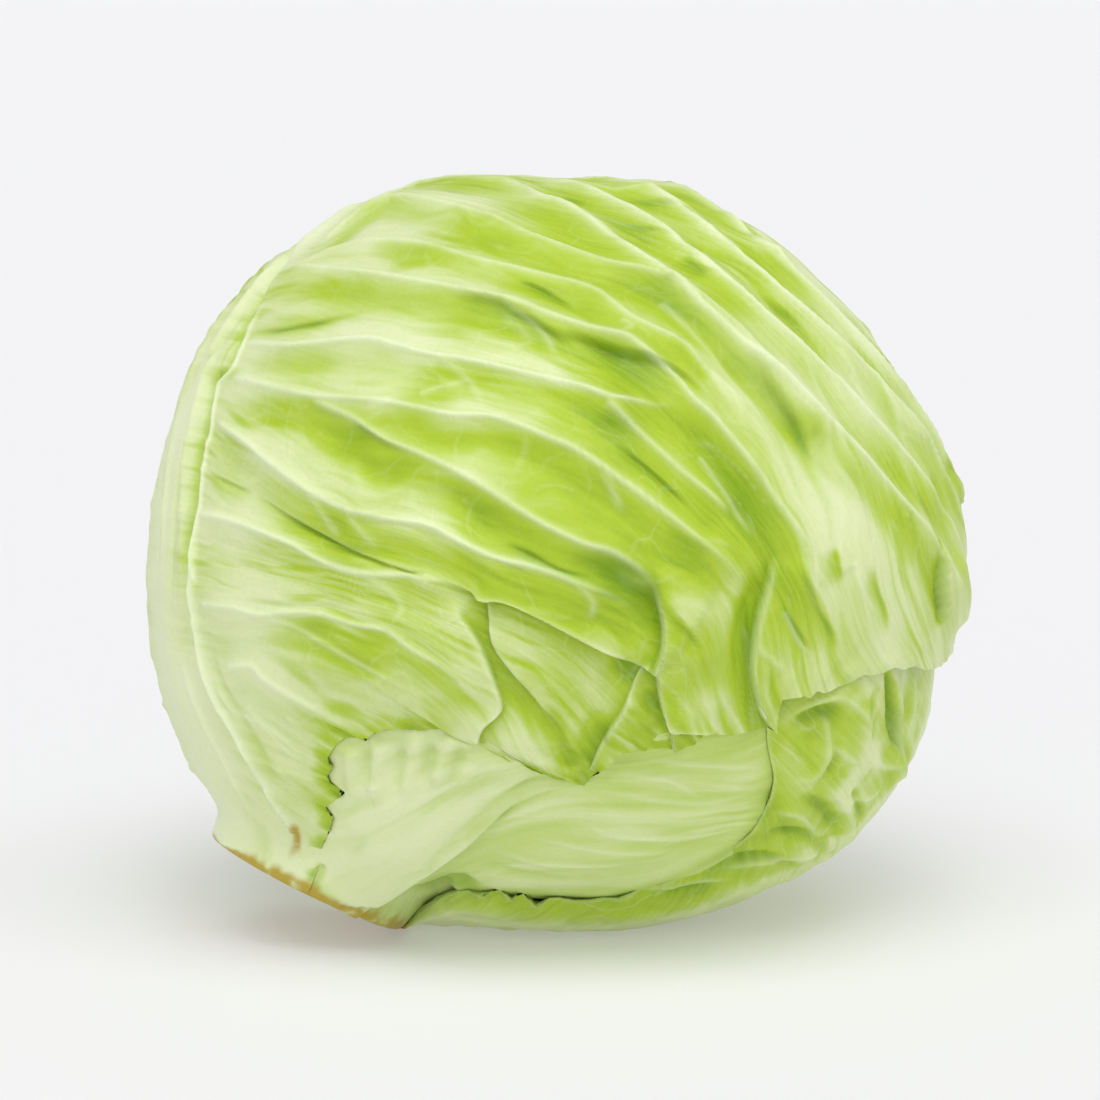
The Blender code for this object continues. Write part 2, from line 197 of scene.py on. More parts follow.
def nearest(flat, line):
    """(distance in metres, place from 0 to 1, side, direction to the left) of a line's nearest point."""
    best = np.full(len(flat), 9.0)
    place = np.zeros(len(flat))
    side = np.zeros(len(flat))
    left = np.zeros((len(flat), 3))
    for k in range(len(line) - 1):
        start, step = line[k], line[k + 1] - line[k]
        x = np.clip((flat - start) @ step / (step @ step), 0, 1)
        gap = np.linalg.norm(flat - start - x[:, None] * step, axis=1)
        closer = gap < best
        normal = unit(np.cross(start, step))
        best[closer] = gap[closer]
        place[closer] = (k + x[closer]) / (len(line) - 1)
        side[closer] = np.sign(flat[closer] @ normal)
        left[closer] = normal
    return best * HALF_DEPTH, place, side, left


def slerp(first, last, share):
    """Directions between two rows of directions, along great circles."""
    angle = np.arccos(np.clip((first * last).sum(-1), -1, 1))[:, None, None]
    first, last, share = first[:, None], last[:, None], share[None, :, None]
    return (np.sin((1 - share) * angle) * first + np.sin(share * angle) * last) / np.sin(angle)


def clear_of_stump(directions, steps):
    """The net with its first rows pushed out to a circle round the stump, a little wider at each step."""
    angle = np.radians(from_stump(directions))
    step = np.arange(len(directions)) / (len(directions) / steps)
    least = np.radians(BASE_ANGLE + CLEAR_STEP * step)[:, None]
    side = unit(directions - (directions @ POLE)[..., None] * POLE)
    pushed = np.cos(least)[..., None] * POLE + np.sin(least)[..., None] * side
    return np.where((angle < least)[..., None], pushed, directions)


def net_between(back, middle, front, behind, before, steps):
    """A fine net over three lines, clear of the stump, and each place's share across, from -1 to 1."""
    to_middle, to_front = np.linspace(0, 1, behind + 1), np.linspace(0, 1, before + 1)
    whole = np.concatenate([slerp(back, middle, to_middle), slerp(middle, front, to_front)[:, 1:]], axis=1)
    across = np.concatenate([to_middle - 1, to_front[1:]])
    return clear_of_stump(whole, steps), np.tile(across, len(whole))


def leaf_net(stations, rows, behind, before):
    """A smaller leaf's net, and each place's share across and along."""
    stations = np.array(stations)
    back, middle, front = (curve(stations[:, k], rows) for k in range(3))
    directions, across = net_between(back, middle, front, behind, before, LEAF_STEPS)
    return directions, across, np.repeat(np.linspace(0, 1, rows), behind + before + 1)


def hashed(x, y, z, seed):
    """A number from 0 to 1 for each lattice point, the same on each run."""
    n = x * 374761393 + y * 668265263 + z * 2147483629 + seed * 1274126177
    n = (n ^ (n >> 13)) * 1274126177 & 0xFFFFFFFF
    return ((n ^ (n >> 16)) & 0xFFFF) / 65535


def noise(points, seed):
    """Smooth noise from -1 to 1 in space, with features about one unit across."""
    low = np.floor(points).astype(np.int64)
    x, y, z = np.moveaxis(points - low, -1, 0)
    x, y, z = (v * v * (3 - 2 * v) for v in (x, y, z))
    total = 0
    for i in (0, 1):
        for j in (0, 1):
            for k in (0, 1):
                weight = (x if i else 1 - x) * (y if j else 1 - y) * (z if k else 1 - z)
                total = total + weight * hashed(low[..., 0] + i, low[..., 1] + j, low[..., 2] + k, seed)
    return 2 * total - 1


def streaks(flow, wide, long, seed, bend=0.0):
    """Noise in streaks along the veins, this many millimetres wide and long."""
    across, along = flow[:, 0] / (wide * MM) + bend, flow[:, 1] / (long * MM)
    return noise(np.stack([across, along, 0 * along], 1), seed)


class Relief:
    """The relief and the paint of one leaf's net: what each stroke adds to it, with sizes in millimetres."""

    def __init__(self, directions):
        self.shape = directions.shape[:-1]
        self.flat = directions.reshape(-1, 3)
        count = len(self.flat)
        self.lift = np.zeros(count)
        self.push = np.zeros((count, 3))
        self.vein_and_highlight = np.zeros(count)
        self.deep = np.zeros(count)
        self.white_and_light = np.zeros(count)
        self.brown = np.zeros(count)

    def near(self, line, reach, ends):
        """The places within reach of a line: (chosen, distance, signed distance, fade, place, left)."""
        line = curve(line, 2 * len(line) + 4)
        middle = unit(line.mean(0))
        spread = np.arccos(np.clip((line @ middle).min(), -1, 1)) + reach / HALF_DEPTH
        chosen = np.flatnonzero(self.flat @ middle > np.cos(min(spread, 3.1)))
        distance, place, side, left = nearest(self.flat[chosen], line)
        close = distance < reach
        chosen, distance, place, side, left = (v[close] for v in (chosen, distance, place, side, left))
        fade = 1.0
        if ends[0]:
            fade = fade * smooth(place, 0, ends[0])
        if ends[1]:
            fade = fade * smooth(1 - place, 0, ends[1])
        return chosen, distance, distance * side, fade, place, left

    def vein_line(self, line, height, width, paint=0.9, ends=(0.03, 0.3)):
        """A raised pale line along one of the veins, tapering."""
        chosen, distance, _, fade, place, _ = self.near(line, 4 * width * MM, ends)
        wide = np.maximum(width * (1 - 0.45 * place), THINNEST) * MM
        self.lift[chosen] += height * MM * fade * bell(distance, wide)
        core = bell(distance, np.maximum(0.8 * wide, THINNEST * MM))
        pale = 0.75 * core + 0.3 * bell(distance, 2 * wide)
        self.vein_and_highlight[chosen] = np.maximum(self.vein_and_highlight[chosen], paint * fade * pale)

    def fold(self, line, height, above, below, valley, shade, ends=(0.1, 0.15)):
        """A broad fold: gentle on its left side, steep on its right, with a shaded hollow beneath."""
        chosen, _, signed, fade, _, _ = self.near(line, FOLD_REACH * MM, ends)
        signed = signed / MM
        crest = np.sqrt(signed ** 2 + 0.3) - 0.55
        shape = np.exp(-crest / np.where(signed > 0, above, below))
        shape = shape * (1 - smooth(np.abs(signed), FOLD_FADE, FOLD_REACH))
        hollow = bell(signed + 1.9 * below, 1.15 * below)
        self.lift[chosen] += height * MM * fade * (shape - valley * hollow * (signed < 0))
        self.deep[chosen] += shade * fade * bell(signed + 1.5 * below, 1.2 * below) * (signed < 0)

    def lap(self, line, over, under, reach, hang, shade=0.8, rim=0.5, ends=(0.15, 0.1), soft=1.0):
        """A fold's edge: the blade on the line's left laps over the blade on its right, and hangs over it.
        Shade is painted in deep green on the blade beneath, and the rim is a painted pale highlight along the
        lip.
        """
        chosen, distance, signed, fade, _, left = self.near(line, 3.2 * reach * MM, ends)
        distance, signed = distance / MM, signed / MM
        step = smooth(signed, -soft, soft)
        raised = over * step * np.exp(-distance / reach)
        height = raised - under * (1 - step) * np.exp(-distance / reach * 1.5)
        self.lift[chosen] += MM * fade * height
        shift = -0.8 * hang * bell(signed - 1.1, 2.0) + 0.5 * hang * bell(signed + 1.1, 2.0)
        self.push[chosen] += (MM * fade * shift)[:, None] * left
        self.deep[chosen] += shade * fade * (1 - step) * np.exp(-distance / 2.6)
        self.vein_and_highlight[chosen] = np.maximum(self.vein_and_highlight[chosen], rim * fade * bell(signed - 0.6, 0.85))

    def groove(self, line, depth, width, shade, ends=(0.35, 0.35)):
        """A soft groove, with shade painted in deep green in its bed."""
        chosen, distance, _, fade, _, _ = self.near(line, 3 * width * MM, ends)
        self.lift[chosen] -= depth * MM * fade * bell(distance, width * MM)
        self.deep[chosen] += shade * fade * bell(distance, 1.1 * width * MM)

    def bulge(self, line, height, width, ends=(0.25, 0.25)):
        """A soft broad swelling."""
        chosen, distance, _, fade, _, _ = self.near(line, 3 * width * MM, ends)
        self.lift[chosen] += height * MM * fade * bell(distance, width * MM)

    def paint(self, mask, line, amount, width, ends=(0.2, 0.2)):
        """Paint along a line, on top of what the mask has."""
        chosen, distance, _, fade, _, _ = self.near(line, 3 * width * MM, ends)
        mask[chosen] += amount * fade * bell(distance, width * MM)


def draw(stroke, rows, **settings):
    """One kind of stroke for each row: its line in the front view, and the numbers that the stroke takes."""
    for line, *numbers in rows:
        stroke(seen(line), *numbers, **settings)


def lanes(flat, lines):
    """For each place, how far it lies across the veins and along them, in metres, from numbered lines."""
    centres, values = [], []
    for number, line in lines:
        line = curve(line, 9)
        steps = np.linalg.norm(np.diff(line, axis=0), axis=1)
        along = np.concatenate([[0], np.cumsum(steps)])
        centres.append(line)
        values.append(np.stack([np.full(9, number), along * HALF_DEPTH], 1))
    centres, values = np.concatenate(centres), np.concatenate(values)
    gaps = np.linalg.norm(centres[:, None] - centres[None], axis=2)
    size = len(centres)
    system = np.ones((size + 1, size + 1))
    system[:size, :size] = gaps - 1e-4 * np.eye(size)
    system[size, size] = 0
    weights = np.linalg.solve(system, np.concatenate([values, [[0, 0]]]))
    out = np.empty((len(flat), 2))
    for k in range(0, len(flat), 40000):
        part = flat[k:k + 40000]
        near = np.sqrt(np.maximum(2 - 2 * part @ centres.T, 0))
        out[k:k + 40000] = near @ weights[:size] + weights[size]
    return out


def grid_normals(points):
    """A normal for each point of a grid whose rows run to the right of its columns."""
    normals = np.cross(np.gradient(points, axis=1), np.gradient(points, axis=0))
    return normals / np.maximum(np.linalg.norm(normals, axis=-1, keepdims=True), 1e-12)


def outward(outer, *others):
    """The grids with their rows turned round where their normals would face inward."""
    if ((outer - CENTRE) * grid_normals(outer)).sum() > 0:
        return (outer, *others)
    return tuple(grid[::-1] for grid in (outer, *others))


def coarse_picks(count):
    """The rows or columns of a net that its inner face takes."""
    return np.unique(np.append(np.arange(0, count, COARSE_STEP), count - 1))


def quads(index, order):
    """A face for each cell of a grid of vertex numbers, with its corners in this order."""
    corners = index[:-1, :-1], index[:-1, 1:], index[1:, 1:], index[1:, :-1]
    return np.stack([corners[k] for k in order], -1).reshape(-1, 4)


def both(fine, coarse):
    """The values of the fine grid, then those of the coarse one, in single precision."""
    values = np.concatenate([grid.reshape(-1, grid.shape[-1]) for grid in (fine, coarse)])
    return values.astype(np.float32)


def add_object(name, data):
    """A new object in the scene."""
    thing = bpy.data.objects.new(name, data)
    bpy.context.scene.collection.objects.link(thing)
    return thing


def sheet(name, outer, inner, look, flow, material):
    """A closed leaf from its outer and inner points: the outer face is fine, the inner one coarse."""
    outer, inner, look, flow = outward(outer, inner, look, flow)
    rows, columns = outer.shape[:2]
    row_picks, column_picks = coarse_picks(rows), coarse_picks(columns)
    picks = np.ix_(row_picks, column_picks)
    small = inner[picks]
    index = np.arange(rows * columns).reshape(rows, columns)
    back = rows * columns + np.arange(len(row_picks) * len(column_picks)).reshape(len(row_picks), -1)
    faces = np.concatenate([quads(index, (0, 1, 2, 3)), quads(back, (0, 3, 2, 1))])
    rims = rim_faces(index, back, row_picks, column_picks)
    loops = np.concatenate([faces.ravel(), *map(np.array, rims)])
    sizes = np.concatenate([np.full(len(faces), 4), [len(rim) for rim in rims]])
    points = both(outer, small)
    mesh = bpy.data.meshes.new(name)
    mesh.vertices.add(len(points))
    mesh.vertices.foreach_set("co", points.ravel())
    mesh.loops.add(len(loops))
    mesh.loops.foreach_set("vertex_index", loops.astype(np.int32))
    mesh.polygons.add(len(sizes))
    starts = np.concatenate([[0], np.cumsum(sizes)[:-1]])
    mesh.polygons.foreach_set("loop_start", starts.astype(np.int32))
    mesh.update(calc_edges=True)
    mesh.shade_smooth()
    add_attributes(mesh, both(look, look[picks]), both(flow, flow[picks]))
    mesh.normals_split_custom_set_from_vertices(both(grid_normals(outer), -grid_normals(small)))
    mesh.materials.append(material)
    return add_object(name, mesh)


def rim_faces(index, back, row_picks, column_picks):
    """Faces that join the fine rim to the coarse one, one for each coarse edge."""
    rims = []
    for fine, coarse, picks, turned in (
        (index[0], back[0], column_picks, False),
        (index[-1], back[-1], column_picks, True),
        (index[:, 0], back[:, 0], row_picks, True),
        (index[:, -1], back[:, -1], row_picks, False),
    ):
        for k in range(len(picks) - 1):
            edge = list(fine[picks[k]:picks[k + 1] + 1])
            face = [coarse[k], coarse[k + 1]] + edge[::-1]
            rims.append(face[::-1] if turned else face)
    return rims


def add_attributes(mesh, looks, flows):
    """The paint masks, and the place along and across the veins, for the materials."""
    paint = mesh.attributes.new("look", "FLOAT_COLOR", "POINT")
    paint.data.foreach_set("color", np.clip(looks, 0, 1).ravel())
    lane = mesh.attributes.new("flow", "FLOAT_VECTOR", "POINT")
    lane.data.foreach_set("vector", np.pad(flows, ((0, 0), (0, 1))).ravel())


# Leaf a, over the left, the top, the front and the right: its margin behind, its midrib and its margin in
# front, each from the stump to the tip. The margin in front is given in the front view where it is seen,
# and the anchors are the points of it that stand at the stations.
LEAF_A_BACK = [
    (BASE_ANGLE, -40), (24, -46), (34, -54), (46, -62), (58, -70), (70, -77), (81, -83), (92, -88),
    (102, -93), (111, -98), (119, -103), (126, -108), (132, -113), (134, -119), (134, -126),
    (133, -131), (131, -136), (128, -141), (125, -146), (123, -150),
]
LEAF_A_SPINE = [
    (BASE_ANGLE, 18), (26, 18), (38, 18), (50, 18), (61, 17), (71, 16), (80, 16), (88, 15), (96, 14),
    (104, 13), (112, 11), (120, 9), (130, 5), (141, 0), (152, -8), (162, -26), (167, -68), (160, -115),
    (146, -138), (124, -155),
]
LEAF_A_ANCHORS = [
    (325, 858), (324, 792), (326, 755), (392, 734), (451, 736), (526, 771), (585, 793), (652, 755),
    (721, 739), (780, 699), (830, 690), (882, 674), (942, 667),
]
LEAF_A_MARGIN = [
    (325, 858), (321, 846), (328, 835), (329, 822), (319, 814), (331, 806), (340, 799), (324, 792),
    (320, 783), (327, 774), (321, 765), (326, 755), (335, 745), (346, 741), (360, 747),
    (366, 739), (383, 734), (392, 734), (405, 734), (417, 735), (440, 732), (451, 736), (470, 748),
    (489, 759), (509, 764), (526, 771), (542, 777), (559, 785), (574, 791), (585, 793), (592, 784),
    (601, 780), (609, 774), (617, 765), (625, 757), (638, 757), (652, 755), (676, 755), (698, 748),
    (706, 741), (721, 739), (736, 741), (751, 738), (770, 735), (782, 727), (781, 713), (780, 699),
    (790, 697), (800, 694), (808, 697), (816, 690), (823, 693), (830, 690), (838, 686), (846, 686),
    (855, 680), (861, 674), (870, 676), (882, 674), (893, 667), (905, 670), (915, 666), (925, 670),
    (942, 667),
]
LEAF_A_BASE = [(BASE_ANGLE, 92), (14, 91.6), (14.8, 90.6), (15.6, 89.2)]
LEAF_A_TAIL = [(114, 176), (115, 183), (116, 189), (118, 195), (120, 199), (121, 202)]
LEAF_A_STATIONS = 19
SEEN_STATIONS = 13

# Its net: rows along it, closer together where they show, and columns behind and before its midrib.
# Its front is in three pieces, which meet at these rows.
LEAF_A_ROWS = np.concatenate([np.linspace(0, 13.4, 470), np.linspace(13.4, LEAF_A_STATIONS, 100)[1:]])
LEAF_A_COLUMNS = (110, 360)
LEAF_A_SEAMS = (0, 190, 380, 568)


def leaf_a_margin(place):
    """Leaf a's front margin at places counted in stations: notched where it is seen, plain behind."""
    points = np.array(LEAF_A_MARGIN, float)
    steps = np.concatenate([[0], np.cumsum(np.hypot(*np.diff(points, axis=0).T))])
    anchors = [LEAF_A_MARGIN.index(p) for p in LEAF_A_ANCHORS]
    numbers = np.interp(steps, steps[anchors], np.arange(1, SEEN_STATIONS + 1))
    base = polar(LEAF_A_BASE)
    tail = polar(LEAF_A_TAIL)
    known = np.concatenate([base, seen(points), tail])
    early = np.arange(len(base)) / len(base)
    numbers = np.concatenate([early, numbers, SEEN_STATIONS + 1 + np.arange(len(tail))])
    return unit(np.stack([np.interp(place, numbers, known[:, k]) for k in range(3)], 1))


# Leaf a's veins and folds on the front, from the midrib to the right, from the top down.
VEIN_TOP = [(404, 190), (430, 181), (481, 183), (517, 189), (538, 204), (564, 214), (610, 227),
            (687, 245)]
VEIN_UPPER = [(559, 184), (610, 193), (649, 198), (687, 216), (726, 237), (764, 258), (790, 265)]
VEIN_1 = [(318, 243), (345, 225), (382, 206), (403, 201), (439, 206), (469, 214), (507, 227), (538, 240),
          (574, 252), (610, 265), (651, 278), (677, 288), (708, 309), (739, 335), (754, 355), (775, 378),
          (792, 401), (814, 425), (837, 470), (854, 500)]
VEIN_3 = [(356, 240), (400, 242), (439, 250), (471, 260), (515, 270), (553, 279), (589, 288), (610, 304),
          (628, 319), (649, 330), (682, 345), (703, 368), (733, 396), (764, 438), (790, 463)]
VEIN_4 = [(279, 270), (325, 270), (369, 277), (400, 283), (430, 288), (476, 296), (515, 304), (548, 317),
          (584, 330), (610, 335), (631, 342), (656, 363), (677, 384), (690, 402), (713, 422), (733, 445),
          (751, 468), (772, 500), (789, 525), (801, 546), (804, 570), (807, 594), (819, 617), (838, 651)]
VEIN_5 = [(241, 342), (284, 348), (323, 345), (374, 342), (400, 349), (430, 357), (469, 363), (515, 373),
          (564, 384), (589, 391), (610, 399), (641, 404), (661, 407), (690, 405)]
VEIN_6 = [(228, 376), (259, 384), (297, 394), (336, 400), (387, 404), (426, 411), (456, 418), (489, 418),
          (515, 425), (546, 438), (574, 450), (600, 466), (625, 484), (656, 507), (687, 531), (718, 557),
          (739, 577), (757, 598)]
VEIN_6_BRANCH = [(605, 402), (636, 430), (677, 468), (713, 497), (733, 520)]
VEIN_7 = [(310, 399), (361, 422), (387, 438), (426, 456), (456, 471), (487, 489), (515, 507), (546, 526),
          (584, 544), (610, 551), (636, 567), (651, 585), (660, 606)]
VEIN_8 = [(215, 420), (246, 440), (274, 463), (310, 489), (349, 509), (387, 518), (430, 525), (461, 541),
          (497, 557), (533, 567), (574, 582), (610, 595), (649, 618)]
VEIN_9 = [(197, 513), (228, 519), (259, 529), (295, 544), (323, 560), (361, 573), (413, 577), (439, 581),
          (469, 588)]
VEIN_10 = [(199, 603), (233, 606), (259, 614), (295, 611), (325, 614), (356, 624), (387, 629), (413, 647),
           (444, 665), (469, 686), (490, 701)]
VEIN_11 = [(225, 668), (251, 665), (264, 678), (284, 693), (315, 714), (349, 737)]
STALK_EDGE = [(196, 510), (193, 578), (199, 647), (215, 698), (233, 727), (259, 776), (284, 819), (295, 835)]
RIB_EDGE = [(310, 240), (283, 269), (268, 290), (252, 316), (240, 346), (229, 370), (217, 382), (212, 401),
            (209, 422), (202, 462), (196, 510), (191, 545), (193, 578)]

# Each main vein: line, height, width, paint.
MAIN_VEINS = (
    (VEIN_TOP, 0.35, 0.9, 0.5), (VEIN_1, 0.45, 0.85, 0.5), (VEIN_3, 0.35, 0.7, 0.5),
    (VEIN_4, 0.5, 0.85, 0.6), (VEIN_5, 0.55, 0.9, 0.75), (VEIN_6, 0.5, 0.85, 0.65),
    (VEIN_6_BRANCH, 0.35, 0.7, 0.5), (VEIN_7, 0.45, 0.8, 0.6), (VEIN_8, 0.55, 0.9, 0.75),
    (VEIN_9, 0.55, 0.9, 0.75), (VEIN_10, 0.4, 0.8, 0.65), (VEIN_11, 0.35, 0.8, 0.55),
)

# The thin veins between them: height, width, paint, and their lines.
THIN_VEIN = (0.22, 0.75, 0.34)
THIN_VEINS = (
    [(400, 349), (439, 360), (462, 375), (478, 395), (489, 417)],
    [(361, 573), (387, 588), (402, 609), (387, 629)],
    [(259, 614), (295, 627), (325, 645), (361, 665), (400, 686), (426, 699)],
    [(217, 686), (233, 711), (259, 724), (284, 750), (300, 770)],
    [(246, 706), (264, 732), (284, 758), (305, 776)],
    [(282, 719), (300, 737), (322, 752)],
    [(600, 466), (612, 490), (624, 516)],
    [(574, 582), (592, 600), (590, 622)],
    [(782, 611), (797, 643), (812, 656)],
    [(761, 645), (772, 660), (782, 671)],
    [(851, 561), (861, 591), (879, 619)],
    [(620, 322), (630, 330), (616, 336)],
    VEIN_UPPER,
    [(500, 300), (540, 330), (560, 360)],
    [(660, 300), (700, 340), (745, 400), (790, 470)],
    [(700, 250), (750, 290), (790, 340), (830, 420), (850, 470)],
    [(830, 350), (865, 400), (900, 460), (925, 520)],
    [(700, 455), (730, 500), (757, 540)],
    [(420, 395), (450, 385), (480, 380)],
    [(310, 489), (330, 520), (345, 535)],
    [(349, 509), (362, 530), (384, 548)],
)

# Each broad fold: line, height, spread above and below, depth of the hollow beneath, shade.
FOLDS = (
    (VEIN_TOP, 1.0, 5, 3, 0.3, 0.3),
    (VEIN_UPPER, 1.2, 3, 4, 0.2, 0.1),
    (VEIN_1, 1.5, 6, 3.4, 0.5, 0.55),
    (VEIN_3, 0.8, 4, 2.6, 0.4, 0.3),
    (VEIN_4, 2.0, 7, 3.6, 0.6, 0.7),
    (VEIN_5, 1.5, 6, 3.0, 0.5, 0.45),
    (VEIN_6, 1.6, 6, 3.2, 0.5, 0.5),
    (VEIN_6_BRANCH, 0.9, 4, 2.6, 0.4, 0.4),
    (VEIN_7, 1.5, 6, 3.4, 0.6, 0.7),
    (VEIN_8, 1.7, 6, 3.6, 0.5, 0.55),
    (VEIN_9, 1.2, 5, 3.0, 0.3, 0.2),
    (VEIN_10, 0.9, 6, 4.0, 0.3, 0.15),
    (VEIN_11, 0.6, 4, 3.0, 0.3, 0.2),
)

# The hollows between folds: the shares of their depth and shade that are used, and for each its line,
# depth, width and shade.
HOLLOW_DEPTH, HOLLOW_SHADE = 0.8, 0.9
HOLLOWS = (
    ([(241, 332), (275, 328), (320, 320), (370, 312)], 0.9, 2.0, 0.6),
    ([(575, 345), (610, 352), (645, 375), (680, 400)], 1.2, 4.5, 0.6),
    ([(670, 425), (705, 440), (735, 475), (765, 515), (785, 550)], 1.6, 4.5, 0.7),
    ([(560, 555), (600, 565), (632, 590), (650, 625), (658, 655)], 1.2, 4, 1.5),
    ([(848, 393), (871, 423), (893, 453), (914, 496)], 0.9, 2.2, 0.4),
    ([(927, 470), (938, 500), (944, 540)], 1.3, 3.4, 0.5),
    ([(766, 560), (754, 600), (749, 650), (750, 715)], 1.8, 2.6, 0.8),
    ([(640, 240), (690, 250), (730, 262), (760, 275)], 0.9, 2.6, 0.4),
    ([(470, 215), (530, 232), (590, 250), (640, 268)], 0.7, 2.2, 0.3),
    ([(687, 206), (726, 228), (764, 250), (795, 262)], 1.2, 1.6, 0.7),
    ([(380, 392), (410, 398), (440, 402), (470, 405)], 0.8, 2.6, 0.5),
    ([(415, 470), (450, 490), (480, 510), (520, 530)], 0.8, 3, 0.4),
    ([(300, 436), (340, 455), (380, 480), (430, 505)], 0.5, 2.4, 0.3),
    ([(640, 275), (660, 286), (680, 300)], 0.9, 2.2, 0.5),
    ([(515, 288), (550, 296), (580, 310), (605, 325)], 0.9, 2.4, 0.4),
    ([(690, 355), (700, 372), (706, 384)], 0.8, 2.0, 0.5),
    ([(845, 300), (880, 345), (905, 390), (930, 440)], 0.8, 1.6, 0.3),
)

# Each swelling: line, height, width.
SWELLINGS = (
    ([(803, 329), (837, 359), (863, 382), (889, 410), (914, 434), (936, 449)], 1.3, 3.4),
    ([(830, 440), (850, 490), (862, 540), (880, 600)], 0.8, 5),
    ([(670, 540), (690, 580), (700, 640), (700, 690)], 1.4, 5),
    ([(440, 330), (500, 345), (550, 358)], 0.5, 4),
    ([(945, 480), (957, 492), (962, 500)], 1.6, 3),
    ([(950, 545), (957, 580), (961, 608), (958, 634)], 2.4, 3.2),
    ([(700, 215), (740, 232), (790, 258)], 0.7, 2),
)

# Where leaf a is greener or paler over a wide area, partly its own colour and partly painted shade and light:
# line, amount, width.
GREEN_WASHES = (
    ([(450, 440), (540, 500), (620, 560), (640, 620)], 0.34, 13),
    ([(560, 400), (650, 440), (720, 520), (750, 620)], 0.36, 14),
    ([(560, 290), (640, 330), (700, 380)], 0.22, 10),
    ([(480, 280), (520, 320), (560, 360)], 0.18, 8),
    ([(690, 600), (700, 660), (700, 710)], 0.35, 11),
    ([(640, 700), (660, 740)], 0.30, 7),
    ([(530, 640), (560, 690), (580, 740)], 0.22, 10),
    ([(430, 690), (440, 715), (470, 740)], 0.20, 8),
    ([(620, 190), (700, 210), (760, 240)], 0.30, 6),
    ([(360, 600), (420, 640), (460, 680)], 0.32, 9),
    ([(540, 400), (600, 430), (660, 450)], 0.32, 9),
)
WHITE_WASHES = (
    ([(420, 200), (500, 198), (580, 205)], 0.4, 6),
    ([(780, 250), (840, 310), (890, 370)], 0.5, 8),
    ([(805, 440), (830, 470), (845, 510)], 0.2, 5),
    # Painted light on the upper right, which faces the light.
    ([(895, 380), (925, 420), (945, 465)], 1.2, 6),
    ([(235, 560), (245, 660), (280, 750)], 0.62, 13),
    ([(260, 420), (250, 500), (260, 560)], 0.40, 14),
    ([(330, 250), (400, 225), (470, 230)], 0.45, 11),
    ([(280, 300), (260, 360), (250, 420)], 0.35, 14),
    ([(820, 300), (860, 380), (880, 470)], 0.55, 14),
    ([(180, 640), (200, 720), (250, 800)], 0.5, 8),
    ([(850, 540), (880, 610), (900, 650)], 0.14, 14),
    ([(730, 300), (770, 370), (800, 440)], 0.35, 9),
    ([(300, 340), (380, 330), (460, 345)], 0.40, 9),
    ([(320, 370), (380, 365), (440, 375)], 0.35, 7),
    ([(800, 420), (830, 480), (850, 560)], 0.30, 9),
)

# Where leaf a laps over itself: line, height over and under the edge, reach, overhang, painted shade beneath
# it, rim (a painted highlight along the lip), ends.
LAPS = (
    ([(425, 574), (469, 590), (507, 600), (546, 618), (579, 636), (610, 652), (636, 662), (664, 680)],
     2.4, 2.2, 9, 2.4, 0.8, 0.5, (0.25, 0.05)),
    ([(250, 494), (274, 506), (315, 529), (349, 547), (387, 562), (430, 576)],
     0.8, 1.3, 4, 1.4, 0.7, 0.2, (0.4, 0.1)),
    ([(645, 574), (656, 596), (663, 620), (664, 642), (661, 665), (661, 690), (667, 716), (673, 733),
      (680, 765)],
     2.2, 2.2, 8, 2.4, 0.8, 0.5, (0.2, 0)),
    ([(777, 550), (772, 580), (761, 621), (755, 662), (758, 690), (766, 716), (778, 732), (792, 760)],
     2.4, 2.0, 9, 2.4, 0.8, 0.5, (0.25, 0)),
    ([(652, 655), (643, 673), (636, 689), (626, 713), (613, 733), (601, 755), (592, 778)],
     1.8, 1.8, 6, 2.0, 0.8, 0.5, (0.15, 0.02)),
    ([(470, 590), (483, 598), (489, 613), (494, 644), (515, 675), (533, 695), (545, 715), (560, 740)],
     1.4, 1.4, 5, 1.8, 0.8, 0.5, (0.12, 0.3)),
    ([(476, 748), (479, 734), (486, 724), (496, 716), (501, 707), (494, 685), (484, 660), (473, 636),
      (460, 616), (458, 600)],
     1.5, 1.2, 5, 1.6, 0.8, 0.5, (0.05, 0.25)),
    ([(666, 712), (676, 728), (690, 733), (705, 736), (722, 739)],
     1.2, 1.2, 4, 1.4, 0.6, 0.5, (0.3, 0.2)),
    ([(936, 530), (940, 560), (943, 590), (945, 608), (944, 626)],
     1.8, 2.4, 3.5, 1.2, 1.6, 0.5, (0.3, 0.15)),
)

# The hollows at the laps' ends: line, depth, width, shade, ends.
LAP_HOLLOWS = (
    ([(597, 712), (597, 740), (594, 762), (591, 785)], 2.2, 2.4, 1.0, (0.4, 0)),
    ([(541, 705), (552, 728), (564, 750), (574, 775)], 1.3, 2.2, 0.7, (0.3, 0.1)),
    ([(616, 658), (628, 674), (640, 690)], 1.4, 2.6, 0.9, (0.3, 0.4)),
    ([(650, 690), (655, 705), (660, 722)], 1.0, 2.2, 0.7, (0.3, 0.4)),
)

# A small drop at the corner of the right flap: a tiny swelling with a painted highlight.
DROP_AND_HIGHLIGHT = [(764, 709), (767, 712)]

